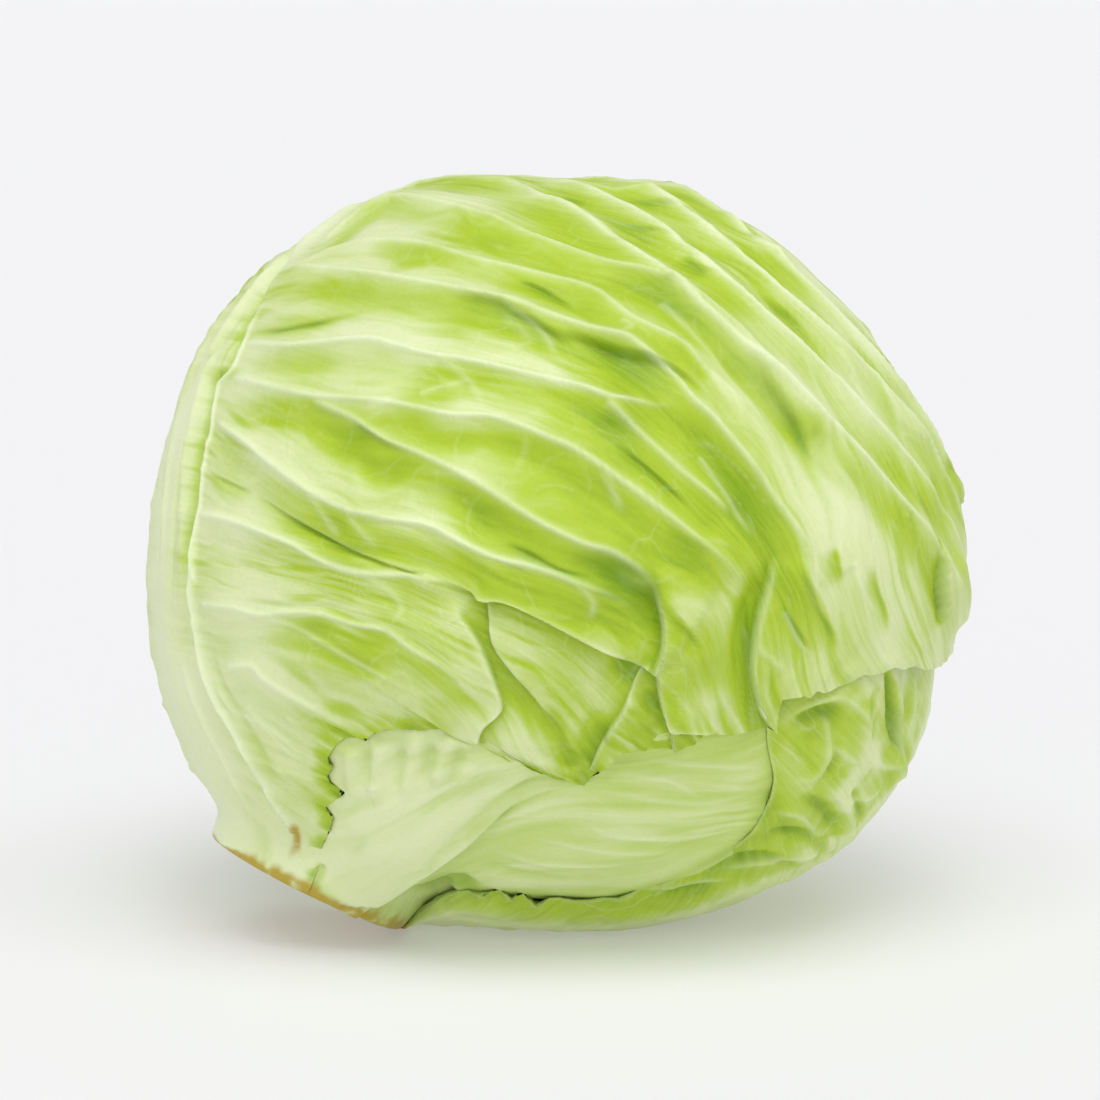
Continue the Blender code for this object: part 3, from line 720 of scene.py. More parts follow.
# Each sharp crease, whose left side stands over its right: line, height over and under, reach.
CREASES = (
    ([(742, 342), (757, 368), (774, 393), (794, 421), (806, 446), (813, 471), (819, 504)], 1.2, 1.2, 4),
    ([(745, 284), (768, 302), (791, 321), (813, 349), (827, 371), (836, 392)], 1.0, 1.1, 3.5),
    ([(806, 272), (791, 263), (758, 238), (713, 210), (670, 193), (636, 182)], 1.1, 1.3, 4),
    ([(436, 181), (417, 186), (378, 203), (335, 222), (288, 250), (245, 289), (226, 308), (192, 365)],
     1.0, 1.3, 3),
    ([(445, 297), (470, 300), (493, 303), (527, 318), (560, 337), (578, 350)], 1.0, 1.1, 3.5),
    ([(243, 333), (270, 330), (292, 327), (331, 318), (388, 303)], 0.7, 1.0, 3),
    ([(547, 329), (580, 338), (620, 350), (663, 366), (690, 385), (706, 405)], 1.3, 1.3, 4.5),
    ([(505, 281), (536, 287), (562, 300), (590, 318)], 0.7, 0.8, 2.5),
    ([(680, 258), (694, 268), (710, 281)], 0.7, 0.9, 2.5),
    ([(352, 420), (370, 431), (388, 442), (417, 456)], 0.5, 0.7, 2.5),
    ([(205, 470), (230, 482), (254, 494)], 0.4, 0.6, 2.5),
    ([(798, 560), (803, 580), (814, 606), (831, 632), (836, 656)], 0.6, 0.6, 2.5),
    ([(780, 600), (788, 616), (801, 636), (811, 656)], 0.5, 0.6, 2),
    ([(834, 545), (836, 562), (841, 585)], 0.5, 0.5, 2),
    ([(870, 560), (876, 585), (886, 610), (890, 640)], 0.5, 0.5, 2.5),
    ([(650, 560), (660, 585), (671, 607), (689, 633), (704, 655)], 0.8, 1.0, 3),
    ([(500, 540), (530, 552), (560, 568), (600, 580)], 0.7, 0.9, 3),
    ([(610, 440), (640, 462), (668, 486), (695, 512)], 0.6, 0.8, 3),
    ([(824, 293), (850, 320), (876, 350), (902, 382), (930, 425), (950, 462)], 0.8, 0.9, 2.5),
    ([(838, 330), (862, 356), (890, 392), (915, 430)], 0.6, 0.7, 2),
    ([(800, 300), (822, 322), (846, 350), (870, 385), (893, 425), (905, 450)], 0.7, 0.7, 2.5),
    ([(910, 392), (928, 425), (942, 460), (953, 490)], 0.6, 0.8, 2),
    ([(560, 215), (600, 224), (640, 232), (680, 243)], 0.5, 0.6, 2),
    ([(600, 196), (650, 205), (700, 222), (735, 240)], 0.6, 0.7, 2),
    ([(520, 190), (560, 198), (600, 208)], 0.5, 0.6, 2),
)

# The midrib's long ridges: line, height, width, ends. Its grooves: line, depth, width, shade.
RIB_RIDGES = (
    ([(296, 248), (262, 282), (236, 318), (214, 356), (200, 400), (190, 450), (184, 510), (182, 580),
      (188, 650)], 1.7, 1.9, (0.1, 0.4)),
    ([(286, 252), (238, 300), (205, 350), (182, 404), (170, 460), (164, 530), (164, 600)],
     1.3, 1.5, (0.1, 0.4)),
)
RIB_GROOVES = (
    ([(256, 300), (228, 336), (204, 376), (190, 420), (178, 480), (174, 560), (178, 640)], 0.9, 0.9, 0.45),
    ([(292, 262), (262, 296), (236, 334), (216, 372), (206, 410), (196, 460), (188, 520), (186, 600)],
     0.8, 0.8, 0.4),
    ([(226, 330), (196, 372), (178, 420), (166, 480), (158, 560), (162, 640)], 0.6, 0.9, 0.35),
    ([(204, 620), (214, 668), (240, 715), (262, 760), (288, 806)], 0.6, 1.4, 0.2),
)


def leaf_a_lanes(flat):
    """Places across and along leaf a's veins, which run out from the midrib to both sides."""
    lines = [seen(v) for v in (VEIN_1, VEIN_4, VEIN_6, VEIN_8, VEIN_10, VEIN_11)]
    lines.append(polar([(120, 6), (128, 36), (133, 62), (137, 90), (132, 118), (124, 140), (118, 152)]))
    lines.append(polar([(138, 0), (146, 36), (150, 72), (150, 108), (142, 138), (130, 160)]))
    for away in (24, 44, 64, 84, 104, 120):
        lines.append(polar([(away, 10), (away + 3, -20), (away + 8, -50), (away + 14, -80)]))
    numbered = [(-np.radians(from_stump(line[0])) * HALF_DEPTH, line) for line in lines]
    return lanes(flat, numbered)


def stroke_front(relief):
    """Leaf a's folds and veins on the front, and where it is paler or greener, partly as painted shade and
    light.
    """
    draw(relief.fold, FOLDS)
    for line, depth, width, shade in HOLLOWS:
        relief.groove(seen(line), HOLLOW_DEPTH * depth, width, HOLLOW_SHADE * shade, ends=(0.45, 0.45))
    draw(relief.bulge, SWELLINGS)
    draw(relief.vein_line, MAIN_VEINS)
    draw(relief.vein_line, [(line, *THIN_VEIN) for line in THIN_VEINS])
    for mask, washes in ((relief.deep, GREEN_WASHES), (relief.white_and_light, WHITE_WASHES)):
        for line, amount, width in washes:
            relief.paint(mask, seen(line), amount, width, ends=(0.3, 0.3))


def stroke_edges(relief):
    """Leaf a's sharp creases, and the places low on the front where it laps over itself."""
    # Each crease gets painted shade in deep green beneath its edge and along its line.
    for line, over, under, reach in CREASES:
        relief.lap(seen(line), over, under, reach, 0.9, shade=0.9, rim=0, ends=(0.35, 0.35), soft=1.2)
        relief.paint(relief.deep, seen(line), 0.35, 0.9, ends=(0.4, 0.4))
    draw(relief.lap, LAPS)
    # A painted highlight along the upper right, which faces the light.
    relief.paint(relief.vein_and_highlight, seen([(895, 385), (925, 425), (945, 468)]), 0.45, 6)
    # The drop's highlight is painted pale on its swelling.
    relief.bulge(seen(DROP_AND_HIGHLIGHT), 0.9, 0.7, ends=(0, 0))
    relief.paint(relief.vein_and_highlight, seen(DROP_AND_HIGHLIGHT), 0.8, 0.6, ends=(0, 0))
    draw(relief.groove, LAP_HOLLOWS)
    relief.bulge(seen([(560, 730), (572, 755), (580, 780)]), 0.9, 1.8, ends=(0.3, 0))


def stroke_midrib(relief):
    """Leaf a's midrib up the left outline: a broad pale band with long ridges."""
    relief.groove(seen([(x - 4, y - 2) for x, y in RIB_EDGE]), 1.5, 1.2, 0.45, ends=(0.05, 0.1))
    relief.vein_line(seen([(x + 3, y + 1) for x, y in RIB_EDGE[2:]]), 0.5, 0.8, 0.9, ends=(0.2, 0))
    draw(relief.bulge, RIB_RIDGES)
    draw(relief.groove, RIB_GROOVES)
    relief.vein_line(seen(STALK_EDGE), 1.0, 1.3, 1.0, ends=(0.1, 0.05))
    relief.vein_line(seen([(180, 640), (196, 700), (224, 760), (258, 820)]), 0.5, 1.5, 0.5, ends=(0.3, 0.2))
    relief.bulge(polar([(14, 30), (30, 26), (48, 22), (64, 20)]), 1.2, 6, ends=(0, 0.6))
    spine = polar(LEAF_A_SPINE)
    for line, amount, width in ((spine[:7], 0.9, 11), (spine[5:11], 0.8, 7), (spine[9:15], 0.6, 4)):
        relief.paint(relief.white_and_light, line, amount, width, ends=(0, 0.2))
    chosen, distance, _, fade, place, _ = relief.near(spine[8:19], 16 * MM, (0.1, 0.3))
    relief.lift[chosen] += 1.4 * MM * fade * bell(distance, (4.5 - 2.5 * place) * MM)
    relief.vein_and_highlight[chosen] = np.maximum(relief.vein_and_highlight[chosen], 0.7 * fade * bell(distance, (4 - 2 * place) * MM))


def stroke_back(relief):
    """Veins and folds where the front view doesn't reach: over the top, behind and on the right."""
    for number, away in enumerate(range(22, 122, 10)):
        bend = 4 * np.sin(2.3 * number)
        line = polar([(away, -4), (away + 2, -16), (away + 6 + bend, -36), (away + 12, -58 + bend),
                      (away + 20, -80)])
        relief.fold(line, 1.4 + 0.4 * np.sin(1.7 * number), 6, 3.4, 0.4, 0.45, ends=(0.6, 0.15))
        relief.vein_line(line, 0.6, 0.95, ends=(0.15, 0.3))
        side = polar([(away + 4, -30), (away + 9, -38), (away + 13, -52)])
        relief.vein_line(side, 0.35, 0.8, 0.6)
    for start, end in ((126, 112), (134, 116), (142, 121), (150, 127)):
        line = polar([(start, 12), (start + 2, 50), (start - 2, 90), (start - 6, 130), (end, 172)])
        relief.fold(line, 1.6, 6, 3.6, 0.5, 0.45, ends=(0.3, 0.15))
        relief.vein_line(line, 0.6, 1.2, ends=(0.3, 0.3))
    for turn in (205, 225, 245, 265):
        line = polar([(166, turn - 60), (156, turn - 30), (144, turn - 12), (132, turn - 6)])
        relief.fold(line, 1.2, 5, 3.4, 0.5, 0.4, ends=(0.2, 0.2))
        relief.vein_line(line, 0.55, 1.1, ends=(0.1, 0.3))


def leaf_c_rib():
    """The line of leaf c's stalk and midrib."""
    points = [(372, 850), (432, 797), (500, 765), (600, 745), (700, 715)]
    return np.concatenate([polar([(BASE_ANGLE, 112)]), seen(points)])


def leaf_c_swell(flat):
    """The thick stalk of leaf c, which the margin of leaf a drapes over."""
    distance, place, _, _ = nearest(flat, curve(leaf_c_rib(), 24))
    wide = (13 - 4 * place) * MM
    return (4.2 - 3.4 * place) * MM * bell(distance, wide)


def flare(flat):
    """How far the leaf bases stand out round the stump."""
    return FLARE * bell(from_stump(flat) - BASE_ANGLE, FLARE_SPREAD)


def drape(relief, flow, amount, seed):
    """Creases that run along the veins, and slow unevenness. The pale parts stay calmer."""
    calm = 1 - 0.85 * np.clip(relief.white_and_light, 0, 1)
    bend = 0.45 * noise(relief.flat * 9, seed + 5)
    long = calm * streaks(flow, 5, 30, seed, bend)
    fine = calm * streaks(flow, 1.9, 16, seed + 1, 2 * bend)
    thin = np.maximum(1 - 5 * np.abs(streaks(flow, 3.1, 22, seed + 3, 3 * bend)), 0) ** 2
    crease = calm * (thin * smooth(noise(relief.flat * 11, seed + 4), -0.1, 0.5))
    streak = np.maximum(calm * streaks(flow, 1.3, 11, seed + 6, 2 * bend), 0)
    slow = noise(relief.flat * 7, seed + 2)
    patch = smooth(noise(relief.flat * 6, seed + 7), -0.3, 0.6)
    relief.lift += amount * MM * (0.35 * long + 0.17 * fine + 0.35 * slow + 0.26 * crease)
    relief.lift -= amount * 0.12 * MM * patch * streak
    relief.vein_and_highlight = np.maximum(relief.vein_and_highlight, 0.2 * amount * crease)
    # Patches of deeper green are the leaf's own; along the streaks and in the low parts of the long creases
    # the deep green is painted shade in their grooves, mixed with the leaf's own streaky colour.
    relief.deep += amount * (0.45 * patch * streak + 0.12 * patch + 0.22 * streak)
    relief.deep += amount * (0.16 * np.maximum(-long, 0) + 0.10 * slow)


def look_of(relief):
    """The four paint masks of each place: veins with painted highlights, deep green with painted shade, pale
    green with painted light, brown.
    """
    deep = np.where(relief.deep > 0, 1 - np.exp(-1.1 * np.maximum(relief.deep, 0)), relief.deep)
    white_and_light = (1 - np.exp(-1.3 * np.maximum(relief.white_and_light, 0))) * (1 - 0.85 * np.clip(deep, 0, 1))
    masks = np.stack([relief.vein_and_highlight, deep, white_and_light, relief.brown], 1)
    return masks.reshape(*relief.shape, 4)


def lowest_near(radius, reach):
    """The lowest radius within some cells of each place of a net."""
    low = radius
    for axis in (0, 1):
        best = low
        for step in range(1, reach + 1):
            ahead, behind = np.roll(low, step, axis), np.roll(low, -step, axis)
            cut = [slice(None)] * 2
            cut[axis] = slice(0, step)
            ahead[tuple(cut)] = np.inf
            cut[axis] = slice(-step, None)
            behind[tuple(cut)] = np.inf
            best = np.minimum(best, np.minimum(ahead, behind))
        low = best
    return low


def meet_cut(flat, radius):
    """The radius drawn out to the cut where a leaf base ends at the stump."""
    cut = cut_radius(flat)
    share = bell(np.maximum(from_stump(flat) - BASE_ANGLE, 0), 1.7)
    return np.minimum(radius + share * (cut - radius), cut)


def faces_of(relief, base, thickness, across):
    """Outer and inner points of a leaf, which is thin at its margins."""
    directions = relief.flat
    rim = smooth(np.abs(across), THIN_FROM, THIN_AT)
    top = meet_cut(directions, base + relief.lift)
    low = lowest_near(top.reshape(relief.shape), GROOVE_REACH).ravel()
    under = (1 - rim) * (low - thickness) + rim * (top - THIN_EDGE)
    outer = CENTRE + directions * top[:, None] + relief.push
    inner = CENTRE + directions * under[:, None] + relief.push * rim[:, None]
    return outer.reshape(*relief.shape, 3), inner.reshape(*relief.shape, 3)


def leaf_sheet(name, outer, inner, relief, flow, material):
    """A leaf in one piece."""
    return [sheet(name, outer, inner, look_of(relief), flow.reshape(*relief.shape, 2), material)]


def shape_margin_a(relief, across, along):
    """Leaf a's margins: the front one bends in and is crinkled and green where it is seen."""
    front = smooth(along, 0.6, 1.4) * (1 - smooth(along, 9, 10.5))
    crinkle = noise(np.stack([along * 16, across * 9, 0 * across], 1), 77)
    relief.lift -= 1.8 * MM * smooth(-across, 0.7, 1) * (1 - smooth(along, 9, 11))
    start = 0.58 + 0.16 * smooth(along, 3.5, 5)
    relief.lift -= 2.7 * MM * smooth((across - start) / (1 - start), 0, 1) * front
    relief.lift += 0.45 * MM * smooth(across, 0.86, 0.97) * front * crinkle
    relief.deep += (0.45 + 0.5 * crinkle) * smooth(across, 0.9, 1) * (1 - smooth(along, 9, 10.5))
    # A line of painted shade in deep green along leaf a's low margin, where it tucks against leaf c.
    low_margin = np.concatenate([polar(LEAF_A_BASE[1:]), seen([(324, 860), (321, 846)])])
    relief.paint(relief.deep, low_margin, 0.7, 0.8)
    relief.white_and_light *= 1 - 0.8 * smooth(across, 0.86, 1) * front
    relief.lift = np.maximum(relief.lift, -2.4 * MM)


def build_leaf_a(material):
    """The outermost leaf, in four pieces over one net."""
    places = np.minimum(LEAF_A_ROWS, LEAF_A_STATIONS - 1e-9)
    back, spine = (curve(polar(line), places) for line in (LEAF_A_BACK, LEAF_A_SPINE))
    margin = leaf_a_margin(LEAF_A_ROWS)
    directions, across = net_between(back, spine, margin, *LEAF_A_COLUMNS, LEAF_A_STEPS)
    along = np.repeat(LEAF_A_ROWS, directions.shape[1])
    relief = Relief(directions)
    flow = leaf_a_lanes(relief.flat)
    for strokes in (stroke_front, stroke_edges, stroke_midrib, stroke_back):
        strokes(relief)
    pale = np.clip(relief.white_and_light, 0, 1)
    drape(relief, flow, amount=1.0, seed=3)
    away = from_stump(relief.flat)
    relief.lift += 0.9 * leaf_c_swell(relief.flat) + 0.25 * flare(relief.flat)
    relief.lift += 1.3 * MM * bell(away - BASE_ANGLE, 0.9)
    relief.lift += 0.5 * MM * smooth(np.abs(across), 0.93, 1) * noise(relief.flat * 26, 9)
    relief.white_and_light += 0.8 * bell(away - 12, 9)
    relief.deep *= 1 - 0.7 * pale
    relief.deep *= 1 - 0.35 * smooth(-across, 0.05, 0.4)
    relief.brown += stump_brown(relief.flat)
    shape_margin_a(relief, across, along)
    outer, inner = faces_of(relief, skin(relief.flat), 1.0 * MM, across)
    grids = outer, inner, look_of(relief), flow.reshape(*relief.shape, 2)
    low, middle, high = (slice(first, last + 1) for first, last in zip(LEAF_A_SEAMS, LEAF_A_SEAMS[1:]))
    behind, front = slice(LEAF_A_COLUMNS[0] + 1), slice(LEAF_A_COLUMNS[0], None)
    pieces = []
    for name, rows, columns in (
        ("leaf_a_behind", slice(None), behind),
        ("leaf_a_low", low, front),
        ("leaf_a_middle", middle, front),
        ("leaf_a_high", high, front),
    ):
        pieces.append(sheet(name, *(grid[rows, columns] for grid in grids), material))
    return pieces


def stump_brown(flat):
    """Brown where a leaf base meets the cut, ragged, with a small scar above it."""
    wide = 0.95 + 0.28 * noise(flat * 22, 71) + 0.18 * noise(flat * 70, 72)
    scar, _, _, _ = nearest(flat, seen([(294, 829), (297, 836), (299, 843)]))
    mark, _, _, _ = nearest(flat, seen([(378, 903), (384, 908)]))
    wide = np.maximum(wide, 0.35) * (0.75 + 0.6 * smooth(flat @ RIGHT, -0.74, -0.6))
    rim = 1 - smooth(from_stump(flat) - BASE_ANGLE, 0.55 * wide, 1.2 * wide)
    return 1.4 * rim + 1.2 * bell(scar, 0.95 * MM) + 0.5 * bell(mark, 0.9 * MM)


def one(x, y):
    """The direction to one place of the front view."""
    return seen([(x, y)])[0]


# Leaf c, the pale one in front: behind leaf a at its upper margin and behind leaf d at its lower one.
# Its stations are pairs of degrees, as in polar, from the upper margin over the rib to the lower one.
# Each net is its rows, and its columns behind and before the rib.
LEAF_C_NET = (260, 110, 120)
LEAF_C_STATIONS = (
    ((BASE_ANGLE, 76), (BASE_ANGLE, 118), (BASE_ANGLE, 180)),
    ((26, 66), (27, 118), (26, 176)),
    ((40, 68), (42, 122), (42, 178)),
    ((56, 82), (58, 128), (58, 178)),
    ((72, 98), (74, 134), (74, 178)),
    ((86, 112), (90, 140), (88, 176)),
    ((98, 118), (103, 144), (100, 172)),
)

# Its veins: line, height, width. Its swellings: line, height, width. Its grooves: line, depth, width,
# shade.
LEAF_C_VEINS = (
    ([(575, 827), (610, 848), (670, 851), (711, 848), (751, 840)], 0.9, 1.6),
    ([(605, 783), (654, 789), (686, 797), (711, 816)], 0.6, 1.6),
    ([(480, 865), (534, 878), (589, 881), (643, 878)], 0.6, 1.8),
    ([(600, 800), (660, 812), (720, 815), (770, 800)], 0.4, 1.2),
    ([(640, 770), (700, 775), (740, 778), (780, 776)], 0.5, 1.4),
    ([(520, 850), (580, 862), (640, 866), (700, 862)], 0.4, 1.4),
)
LEAF_C_SWELLINGS = (
    ([(376, 742), (374, 770), (370, 805)], 2.0, 1.9),
    ([(414, 730), (412, 765), (404, 800)], 2.2, 2.1),
    ([(452, 732), (444, 760), (432, 790)], 2.0, 2.1),
    ([(344, 748), (346, 775), (350, 805)], 1.6, 2.2),
    ([(486, 745), (470, 770), (456, 792)], 1.4, 2.2),
    ([(350, 860), (400, 850), (440, 825), (480, 800)], 1.6, 5),
    ([(352, 845), (380, 815), (430, 790)], 1.0, 6),
    ([(480, 865), (560, 872), (640, 868), (700, 858)], 0.8, 4),
    ([(560, 800), (640, 822), (720, 826), (770, 812)], 0.7, 5),
)
LEAF_C_GROOVES = (
    ([(394, 738), (395, 765), (394, 795)], 1.0, 1.3, 0.3),
    ([(428, 738), (427, 765), (424, 790)], 1.0, 1.3, 0.3),
    ([(360, 748), (361, 768), (362, 790)], 0.8, 1.2, 0.3),
    ([(460, 745), (456, 765), (446, 790)], 0.8, 1.3, 0.3),
    ([(430, 858), (470, 828), (520, 795), (570, 778)], 0.5, 0.8, 0.4),
    ([(450, 862), (490, 836), (540, 806), (600, 786)], 0.4, 0.7, 0.4),
    ([(480, 837), (521, 799), (556, 786), (600, 776)], 0.8, 1.8, 0.25),
    ([(500, 812), (540, 782), (580, 770)], 0.5, 1.4, 0.15),
    ([(600, 762), (650, 768), (700, 760)], 0.9, 3, 0.3),
    ([(600, 858), (650, 860), (700, 860), (745, 850)], 0.6, 1.6, 0.3),
    ([(470, 880), (520, 892), (580, 897)], 0.8, 2, 0.4),
)

# The lines that number the places across leaf c, in millimetres.
LEAF_C_LANES = (
    (0, [(326, 800), (370, 780), (420, 765), (500, 757), (600, 740)]),
    (9, [(332, 850), (390, 830), (450, 800), (520, 775), (620, 765), (740, 745)]),
    (18, [(355, 893), (410, 880), (470, 838), (530, 800), (620, 790), (760, 790)]),
    (27, [(410, 896), (480, 862), (560, 840), (660, 835), (760, 825)]),
    (36, [(440, 905), (500, 895), (580, 890), (660, 880), (740, 850)]),
)

LEAF_D_MARGIN = [(463, 904), (500, 908), (546, 912), (612, 911), (645, 904), (700, 884), (738, 863),
                 (765, 836), (779, 805), (784, 780), (788, 745), (796, 700)]


def stroke_leaf_c(relief):
    """Leaf c's veins, the ruffles and lobe of its stalk, and the step where the stalk meets the cut."""
    for line, height, width in LEAF_C_VEINS:
        relief.vein_line(seen(line), 0.7 * height, 0.8 * width, 0.4, ends=(0.3, 0.35))
    draw(relief.bulge, LEAF_C_SWELLINGS)
    draw(relief.groove, LEAF_C_GROOVES)
    lobe = polar([(BASE_ANGLE, 122), (16, 123), (20.8, 121.6)])
    lobe = np.concatenate([lobe, seen([(424, 879), (451, 862), (474, 846), (504, 823), (530, 802)])])
    # Painted shade in deep green beneath the lobe's lap, in the hollow below it, and along leaf a's base.
    relief.lap(lobe, 1.6, 3.0, 8, 2.2, rim=0, ends=(0, 0.4))
    relief.groove(seen([(412, 908), (440, 901), (476, 896)]), 2.4, 3.2, 1.6, ends=(0.2, 0.3))
    relief.groove(polar([(14, 93), (15.6, 90.6), (17, 88)]), 0.8, 1.0, 0.9, ends=(0.1, 0.2))
    relief.lift -= 1.4 * MM * (1 - smooth(from_stump(relief.flat), 14.3, 15.3))
    # A line of painted shade along that step.
    relief.deep += 0.35 * bell(from_stump(relief.flat) - 14.8, 0.5)


def leaf_c_depth(relief):
    """How deep leaf c lies below the skin, with shade painted in deep green where it goes under leaves a and
    d.
    """
    away = from_stump(relief.flat)
    deep = LEAF_C_DEPTH + HIDDEN_DEPTH * smooth(away, 82, 98) - 2.2 * MM * bell(away - BASE_ANGLE, 7)
    distance, _, side, _ = nearest(relief.flat, curve(seen(LEAF_A_ANCHORS[2:10]), 60))
    deep = deep + 2.4 * MM * smooth(distance * side, 2.5 * MM, 9 * MM) - 0.8 * MM * bell(distance, 5 * MM)
    relief.deep += 0.3 * bell(distance, 2.0 * MM)
    distance, _, side, _ = nearest(relief.flat, curve(seen(LEAF_D_MARGIN), 60))
    deep = deep + 2.6 * MM * smooth(-distance * side, 2.5 * MM, 8 * MM) - 0.3 * MM * bell(distance, 7 * MM)
    relief.deep += 0.8 * bell(distance, 2.4 * MM)
    return deep


def build_leaf_c(material):
    """The pale leaf in front, with its thick stalk."""
    stations = [polar(station) for station in LEAF_C_STATIONS]
    directions, across, along = leaf_net(stations, *LEAF_C_NET)
    relief = Relief(directions)
    stroke_leaf_c(relief)
    flow = lanes(relief.flat, [(number * MM, seen(line)) for number, line in LEAF_C_LANES])
    drape(relief, flow, amount=0.8, seed=21)
    # Fibres and bands along the stalk; their low parts are painted deeper green, partly their own colour and
    # partly painted shade.
    fibre, band = streaks(flow, 1.1, 26, 23), streaks(flow, 4.5, 40, 24)
    relief.lift += 0.10 * MM * fibre + 0.3 * MM * band
    relief.deep += 0.28 * np.maximum(-fibre, 0) + 0.55 * np.maximum(-band, 0)
    relief.white_and_light += 0.8 * bell(nearest(relief.flat, curve(leaf_c_rib()[:4], 20))[0], 15 * MM)
    relief.white_and_light += 0.2 * (1 - smooth(along, 0.3, 1))
    relief.deep += 0.12 * smooth(along, 0.3, 0.9)
    relief.brown += stump_brown(relief.flat)
    lies = leaf_c_swell(relief.flat) - leaf_c_depth(relief) + 0.5 * flare(relief.flat)
    outer, inner = faces_of(relief, skin(relief.flat) + lies, 0.9 * MM, across)
    return leaf_sheet("leaf_c_sheet", outer, inner, relief, flow, material)


# Leaf d, from beneath: it carries the head and shows at the lower right. Each station has its far
# margin and its rib in degrees, and its near margin in degrees or, where it shows, in the front view.
LEAF_D_NET = (330, 110, 160)
LEAF_D_RIB = [(BASE_ANGLE, 226), (32, 230), (55, 230), (75, 228), (95, 224), (115, 218)]

# Its veins, each with a fold along it: line, height, width. Its grooves: line, depth, width, shade.
LEAF_D_VEINS = (
    ([(904, 665), (906, 716), (904, 765), (890, 800)], 0.9, 1.3),
    ([(784, 731), (810, 711), (836, 699), (857, 707), (872, 729), (868, 759), (859, 790)], 0.8, 1.1),
    ([(829, 705), (831, 744), (821, 780), (787, 789)], 0.8, 1.1),
    ([(822, 780), (841, 802), (852, 827), (838, 843)], 0.9, 1.2),
    ([(831, 744), (850, 760), (866, 768)], 0.6, 0.9),
    ([(883, 700), (870, 733)], 0.5, 0.9),
    ([(779, 821), (806, 822), (825, 850)], 0.7, 1.1),
    ([(711, 886), (765, 867), (806, 856), (835, 843)], 0.8, 1.2),
    ([(650, 903), (700, 893), (740, 884)], 0.6, 1.0),
    ([(868, 759), (890, 770), (905, 765)], 0.6, 0.9),
    ([(930, 672), (925, 710), (908, 745)], 0.5, 0.9),
    ([(841, 802), (870, 800), (892, 780)], 0.6, 0.9),
)
LEAF_D_GROOVES = (
    ([(897, 655), (899, 690), (901, 729), (905, 772)], 2.6, 1.3, 1.6),
    ([(856, 790), (860, 805), (863, 822)], 1.2, 1.1, 1.0),
    ([(795, 735), (812, 722), (832, 712), (850, 720)], 1.2, 1.6, 0.8),
    ([(800, 800), (820, 806), (836, 822), (842, 840)], 1.2, 1.4, 0.8),
    ([(770, 845), (795, 838), (815, 842), (830, 856)], 1.2, 1.3, 0.9),
    ([(720, 880), (750, 868), (780, 862), (800, 870)], 1.1, 1.2, 0.9),
    ([(660, 905), (690, 897), (715, 893)], 0.9, 1.2, 0.9),
    ([(880, 690), (876, 720), (880, 750)], 0.9, 1.2, 0.6),
    ([(840, 735), (838, 762), (828, 784)], 0.9, 1.2, 0.6),
)


def mound(flat, middle, inner, outer):
    """1 within inner degrees of a direction, 0 past outer."""
    away = np.degrees(np.arccos(np.clip(flat @ middle, -1, 1)))
    return 1 - smooth(away, inner, outer)


def leaf_d_net():
    """Leaf d's net, and each place's share across and along."""
    return leaf_net([
        (at(BASE_ANGLE, 268), at(BASE_ANGLE, 226), at(BASE_ANGLE, 184)),
        (at(28, 268), at(28, 229), one(463, 904)),
        (at(44, 270), at(44, 230), one(546, 912)),
        (at(60, 272), at(60, 230), one(645, 904)),
        (at(76, 274), at(76, 228), one(738, 863)),
        (at(91, 274), at(91, 225), one(779, 805)),
        (at(104, 272), at(104, 221), one(776, 742)),
        (at(117, 268), at(117, 216), one(772, 655)),
        (at(130, 258), at(130, 210), one(850, 605)),
    ], *LEAF_D_NET)


def stroke_leaf_d(relief):
    """Leaf d's crinkles where it shows, and its veins beneath."""
    for line, height, width in LEAF_D_VEINS:
        relief.vein_line(seen(line), 0.5 * height, 0.7 * width, 0.5, ends=(0.3, 0.4))
        relief.fold(seen(line), 1.8 * height, 3.4, 3.0, 0.5, 0.4, ends=(0.3, 0.4))
    draw(relief.groove, LEAF_D_GROOVES)
    for number, away in enumerate(range(24, 120, 12)):
        bend = 4 * np.sin(2.1 * number)
        for way in (-1, 1):
            line = polar([(away, 228), (away + 4, 228 + way * 14), (away + 9 + bend, 228 + way * 28),
                          (away + 13, 228 + way * 42)])
            relief.fold(line, 0.9, 4, 3, 0.5, 0.4)
            relief.vein_line(line, 0.7, 1.2)


def shape_margin_d(relief, across, along):
    """Leaf d's margins: the near one is ruffled and deep green where it laps over leaf c."""
    ruffled = (1 - smooth(along, 0.30, 0.42)) * smooth(along, 0.05, 0.10)
    wave = 95 * along + 2.5 * np.sin(31 * along)
    edge = smooth(across, 0.84, 1)
    relief.lift -= MM * edge * (2.0 - 0.6 * smooth(along, 0.34, 0.5))
    relief.lift -= 3.2 * MM * smooth(-across, 0.6, 1)
    relief.lift += MM * ruffled * edge * 0.8 * np.sin(wave + 1.2)
    relief.push[:, 2] += 1.2 * MM * ruffled * smooth(across, 0.86, 1) * np.sin(wave)
    relief.deep += smooth(across, 0.78, 1) * (1 - smooth(along, 0.6, 0.8))
    relief.deep += 0.45 * mound(relief.flat, one(925, 715), 5, 14)
    # Painted shade in deep green on the near margin's far end, under the flaps of leaf a.
    relief.deep += 0.7 * smooth(across, 0.7, 1) * smooth(along, 0.68, 0.82)
    relief.vein_and_highlight += 0.3 * smooth(across, 0.985, 1)


